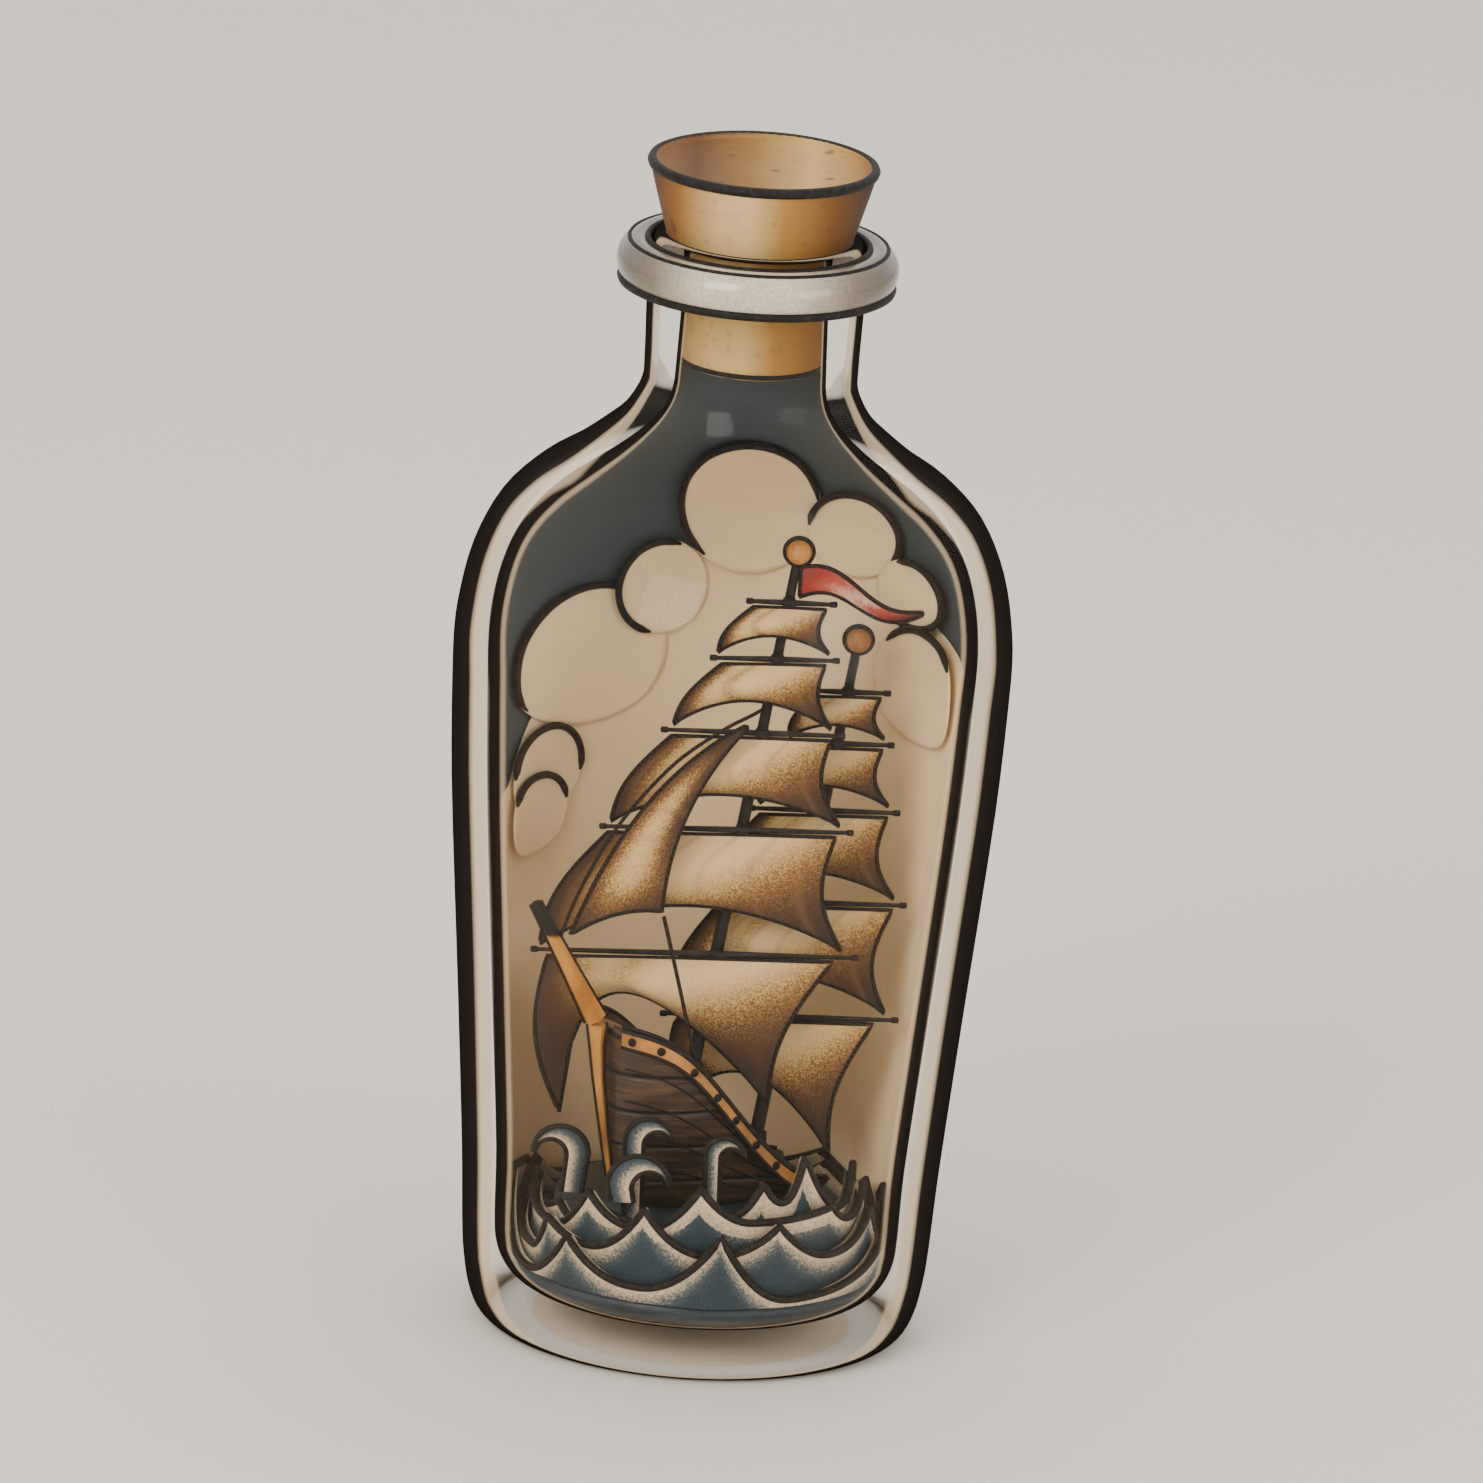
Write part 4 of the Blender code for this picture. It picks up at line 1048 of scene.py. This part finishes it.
LEAN = Vector((0.138, 0.096, 1.0))
FEET = {"fore": Vector((-2.5, -0.07, 44.9)), "main": Vector((9.4, 7.28, 30.7))}
TOPS = {"fore": 136.4, "main": 119.0}
YARDS = {
    "fore": [(-32.2, 65.9, 25.6, 68.1), (-21.5, 88.6, 23.3, 90.3), (-11.8, 106.5, 20.7, 107.4),
             (-4.0, 119.8, 18.9, 120.7), (1.7, 130.3, 17.8, 130.6)],
    "main": [(-8.8, 53.3, 33.4, 54.8), (-2.3, 74.1, 33.5, 75.4), (4.4, 91.0, 31.3, 91.8),
             (9.3, 103.2, 29.5, 103.8), (13.3, 112.6, 28.3, 113.0)],
}
# Each sail: name, yard above, yard below, inset left and right, leech, belly and foot arch.
SAILS = {
    "fore": [("fore_topsail", 1, 0, 1.6, 3.2, 3.4, 3.0, 8.0),
             ("fore_topgallant_sail", 2, 1, 2.0, 2.6, 2.8, 2.6, 5.6),
             ("fore_royal", 3, 2, 2.2, 2.6, 2.1, 2.0, 5.0),
             ("fore_skysail", 4, 3, 1.4, 2.0, 1.9, 1.6, 3.4)],
    "main": [("main_topsail", 1, 0, 2.4, 2.6, 3.4, 3.0, 7.0),
             ("main_topgallant_sail", 2, 1, 2.2, 2.4, 2.8, 2.4, 5.0),
             ("main_royal", 3, 2, 2.0, 2.2, 2.2, 1.8, 3.8),
             ("main_skysail", 4, 3, 1.6, 1.9, 1.8, 1.4, 2.6)],
}
COURSE_FOOT = {"fore": ((-25.4, 36.3), (11.2, 40.0)), "main": ((-0.6, 40.9), (22.6, 29.5))}
COURSE_SHAPE = {"fore": (3.6, 2.6, 22.0, 0.55), "main": (3.2, 2.6, 7.5, 1.0)}


def mast_point(which, z):
    foot = FEET[which]
    return foot + LEAN * (z - foot.z)


def yard_depth(which, index):
    _left, left_z, _right, right_z = YARDS[which][index]
    return mast_point(which, (left_z + right_z) / 2).y - 2.1


def sail_corners(which, spec):
    corners = []
    for index, drop in ((spec[1], -1.05), (spec[2], 1.05)):
        left, left_z, right, right_z = YARDS[which][index]
        depth = yard_depth(which, index)
        corners.append(Vector((left + spec[3], depth, left_z + drop)))
        corners.append(Vector((right - spec[4], depth, right_z + drop)))
    return corners


def course_corners(which):
    left, left_z, right, right_z = YARDS[which][0]
    depth = yard_depth(which, 0)
    (hem_left, hem_left_z), (hem_right, hem_right_z) = COURSE_FOOT[which]
    return [Vector((left + 3.0, depth, left_z - 1.05)), Vector((right - 4.6, depth, right_z - 1.05)),
            Vector((hem_left, depth, hem_left_z)), Vector((hem_right, depth - 0.5, hem_right_z))]


def sail_surface(corners, leech, belly, arch, skew):
    head_left, head_right, foot_left, foot_right = corners

    def place(u, v):
        head = head_left.lerp(head_right, u)
        hem = foot_left.lerp(foot_right, u)
        hem.z += arch * max(0.0, math.sin(math.pi * u ** skew)) ** 0.8
        point = head.lerp(hem, v)
        fill = math.sin(math.pi * v)
        blow = leech * fill + belly * math.sin(math.pi * u) * (0.85 * fill + 0.45 * v * v)
        return point - AFT * blow
    return place


def bump(x, centre, width):
    return math.exp(-((x - centre) / width) ** 2)


def sail_paint(cloths):
    """Painted shade gathers at both leeches, deepest low on the right, with painted shade along the foot and
    down a fold, and a seam runs between the cloths.
    """
    def paint(u, v):
        right = 0.95 * min(1.0, max(0.0, (u + 0.42 * v - 0.74) / 0.58)) ** 1.3
        left = 0.98 * bump(u, -0.04, 0.15 + 0.06 * math.sin(math.pi * v))
        foot = 0.45 * bump(v, 1.05, 0.2) * (0.4 + 0.6 * u)
        fold_shade = 0.22 * bump(u, 0.33 + 0.1 * v, 0.06)
        shade = 1.0 - (1.0 - min(1.0, right)) * (1.0 - left) * (1.0 - foot) * (1.0 - fold_shade)
        seam = max(0.0, 1.0 - abs((u * cloths) % 1.0 - 0.5) * 14.0)
        return (min(1.0, shade), seam)
    return paint


def surface_area(place, columns=24, rows=16):
    total = 0.0
    for j in range(rows):
        for i in range(columns):
            a = Vector(place(i / columns, j / rows))
            b = Vector(place((i + 1) / columns, j / rows))
            c = Vector(place((i + 1) / columns, (j + 1) / rows))
            d = Vector(place(i / columns, (j + 1) / rows))
            total += ((b - a).cross(c - a).length + (c - a).cross(d - a).length) / 2
    return total


def run_length(place, u0, v0, u1, v1, steps=24):
    points = [Vector(place(u0 + (u1 - u0) * k / steps, v0 + (v1 - v0) * k / steps)) for k in range(steps + 1)]
    return sum((b - a).length for a, b in zip(points, points[1:]))


def edge_points(place, steps=26):
    path = [(k / steps, 0.0) for k in range(steps)] + [(1.0, k / steps) for k in range(steps)]
    path += [(1.0 - k / steps, 1.0) for k in range(steps)] + [(0.0, 1.0 - k / steps) for k in range(steps)]
    return [Vector(place(u, v)) for u, v in path]


def declare_sheet(place):
    """Works out how big the cloth was when it was cut, where it is at least 10 mm both ways; the result is
    not passed on.
    """
    width = max(run_length(place, 0.0, v, 1.0, v) for v in (0.0, 0.25, 0.5, 0.75, 1.0)) * MM
    drop = max(run_length(place, u, 0.0, u, 1.0) for u in (0.0, 0.25, 0.5, 0.75, 1.0)) * MM
    area = surface_area(place) * MM * MM
    if min(width, drop) < 0.0101:
        return
    area = min(area, width * drop)


def build_sail(name, place, body, cloths):
    columns, rows = 36, 24
    verts, faces, tints = grid_sheet(columns, rows, place, 0.35, sail_paint(cloths))
    piece = add_piece(name + "_cloth", verts, faces, "sail", body, tints)
    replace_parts(piece, name)
    rope = line(name + "_boltrope", edge_points(place), 0.42, "rope", body, closed=True)
    declare_sheet(place)


def build_rig(which):
    body = which + "_yards"
    for spec in SAILS[which]:
        place = sail_surface(sail_corners(which, spec), spec[5], spec[6], spec[7], 1.0)
        build_sail(spec[0], place, body, 4 if spec[1] > 2 else 6)
    place = sail_surface(course_corners(which), *COURSE_SHAPE[which])
    build_sail(which + "_course", place, body, 8)
    top = mast_point(which, TOPS[which] + 2.6)
    ring = [top + Vector((2.4 * math.cos(2 * math.pi * k / 32), 0.0, 2.4 * math.sin(2 * math.pi * k / 32)))
            for k in range(32)]
    line(which + "_truck_band", ring, 0.55, "line", which + "_mast_rig", closed=True)
    bands = []
    for index in range(5):
        left, left_z, right, right_z = YARDS[which][index]
        depth = yard_depth(which, index)
        middle = mast_point(which, (left_z + right_z) / 2)
        share = (middle.x - left) / (right - left)
        centre = Vector((middle.x, depth, left_z + (right_z - left_z) * share))
        along = Vector((right - left, 0.0, right_z - left_z)).normalized()
        bands.append(tube_mesh([centre - along * 1.1, centre + along * 1.1], 0.95, 10))
        for end, way in ((left, 1.0), (right, -1.0)):
            z = left_z if end == left else right_z
            tip = Vector((end, depth, z))
            bands.append(tube_mesh([tip + along * way * 0.1, tip + along * way * 1.3], 0.58, 8))
    add_piece(which + "_yard_bands", *join(bands), "spar", body)


STAY = [(-26.9, -14.9, 73.1), (-24.0, -12.5, 81.1), (-18.1, -9.3, 92.2), (-9.5, -5.2, 102.4),
        (-1.3, -1.6, 108.3), (3.8, 1.2, 110.7), (5.9, 4.9, 111.0)]
LUFF = (Vector((2.8, 0.3, 109.0)), Vector((-15.8, -8.4, 100.0)), Vector((-25.2, -14.0, 73.3)))
LEECH = (Vector((3.5, 0.7, 108.8)), Vector((-9.1, -6.5, 95.4)), Vector((-9.5, -8.2, 76.8)))
SHEET = [(-9.1, -8.5, 76.0), (-5.4, -10.4, 63.3), (-2.1, -12.0, 51.3)]


def bezier(points, t):
    first, control, last = points
    return first * (1 - t) ** 2 + control * 2 * t * (1 - t) + last * t ** 2


def smooth_run(points, steps=8):
    points = [Vector(p) for p in points]
    run = []
    for index in range(len(points) - 1):
        before = points[max(0, index - 1)]
        a, b = points[index], points[index + 1]
        after = points[min(len(points) - 1, index + 2)]
        for k in range(steps):
            t = k / steps
            run.append(0.5 * ((2 * a) + (b - before) * t + (2 * before - 5 * a + 4 * b - after) * t * t
                              + (3 * a - before - 3 * b + after) * t ** 3))
    run.append(points[-1])
    return run


def bend(piece):
    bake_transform(piece)


def build_headsail():
    def place(u, v):
        point = bezier(LUFF, v).lerp(bezier(LEECH, v), u)
        point.z += 1.6 * 4 * u * (1 - u) * v ** 3
        point.y -= 1.2 * math.sin(math.pi * u) * math.sin(math.pi * v)
        return point

    def paint(u, v):
        # Painted shade at the luff, the leech, the head and the foot; a lit band of cloth is left between
        # them.
        luff = 0.95 * bump(u, -0.03, 0.30) * (0.9 - 0.35 * v)
        leech = 0.95 * bump(u, 1.04, 0.34) * (0.5 + 0.5 * bump(v, 0.45, 0.35))
        head = 0.92 * bump(v, 0.0, 0.30)
        foot = 0.7 * bump(v, 1.04, 0.14)
        shade = 1.0 - (1.0 - luff) * (1.0 - leech) * (1.0 - head) * (1.0 - foot)
        seam = max(0.0, 1.0 - abs((v * 7) % 1.0 - 0.5) * 12.0)
        return (min(1.0, shade), seam)
    verts, faces, tints = grid_sheet(20, 36, place, 0.35, paint)
    piece = add_piece("jib_cloth", verts, faces, "sail", None, tints)
    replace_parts(piece, "jib")
    rope = line("jib_boltrope", edge_points(place), 0.42, "rope", None, closed=True)
    stay = line("fore_stay_rope", smooth_run(STAY), 0.34, "rope", None)
    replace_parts(stay, "fore_stay")
    sheet = line("jib_sheet_rope", smooth_run(SHEET), 0.36, "rope", None)
    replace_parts(sheet, "jib_sheet")
    for item in (piece, rope, stay, sheet):
        bend(item)
    declare_sheet(place)


def build_pennant():
    root = mast_point("fore", 133.2)

    def place(u, v):
        half = 4.9 / 2 * (1 - u) ** 0.75 + 0.25
        wave = 1.9 * math.cos(5.82 * (u - 0.2)) - 0.35
        return Vector((root.x + 1.35 + 21.6 * u, root.y - 12.0 * u ** 1.3,
                       root.z + wave + half * (2 * v - 1)))
    verts, faces, tints = grid_sheet(40, 8, place, 0.35, lambda u, v: (u + 0.08 * math.sin(6 * v), 0.0))
    piece = add_piece("pennant_cloth", verts, faces, "pennant", "fore_mast_rig", tints)
    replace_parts(piece, "pennant")
    line("pennant_hem", edge_points(place), 0.4, "rope", "fore_mast_rig", closed=True)


def main():
    build_camera()
    build_studio()
    build_bottle()
    build_clouds()
    build_sea()
    build_hull()
    for which in ("fore", "main"):
        build_rig(which)
    build_headsail()
    build_pennant()


main()
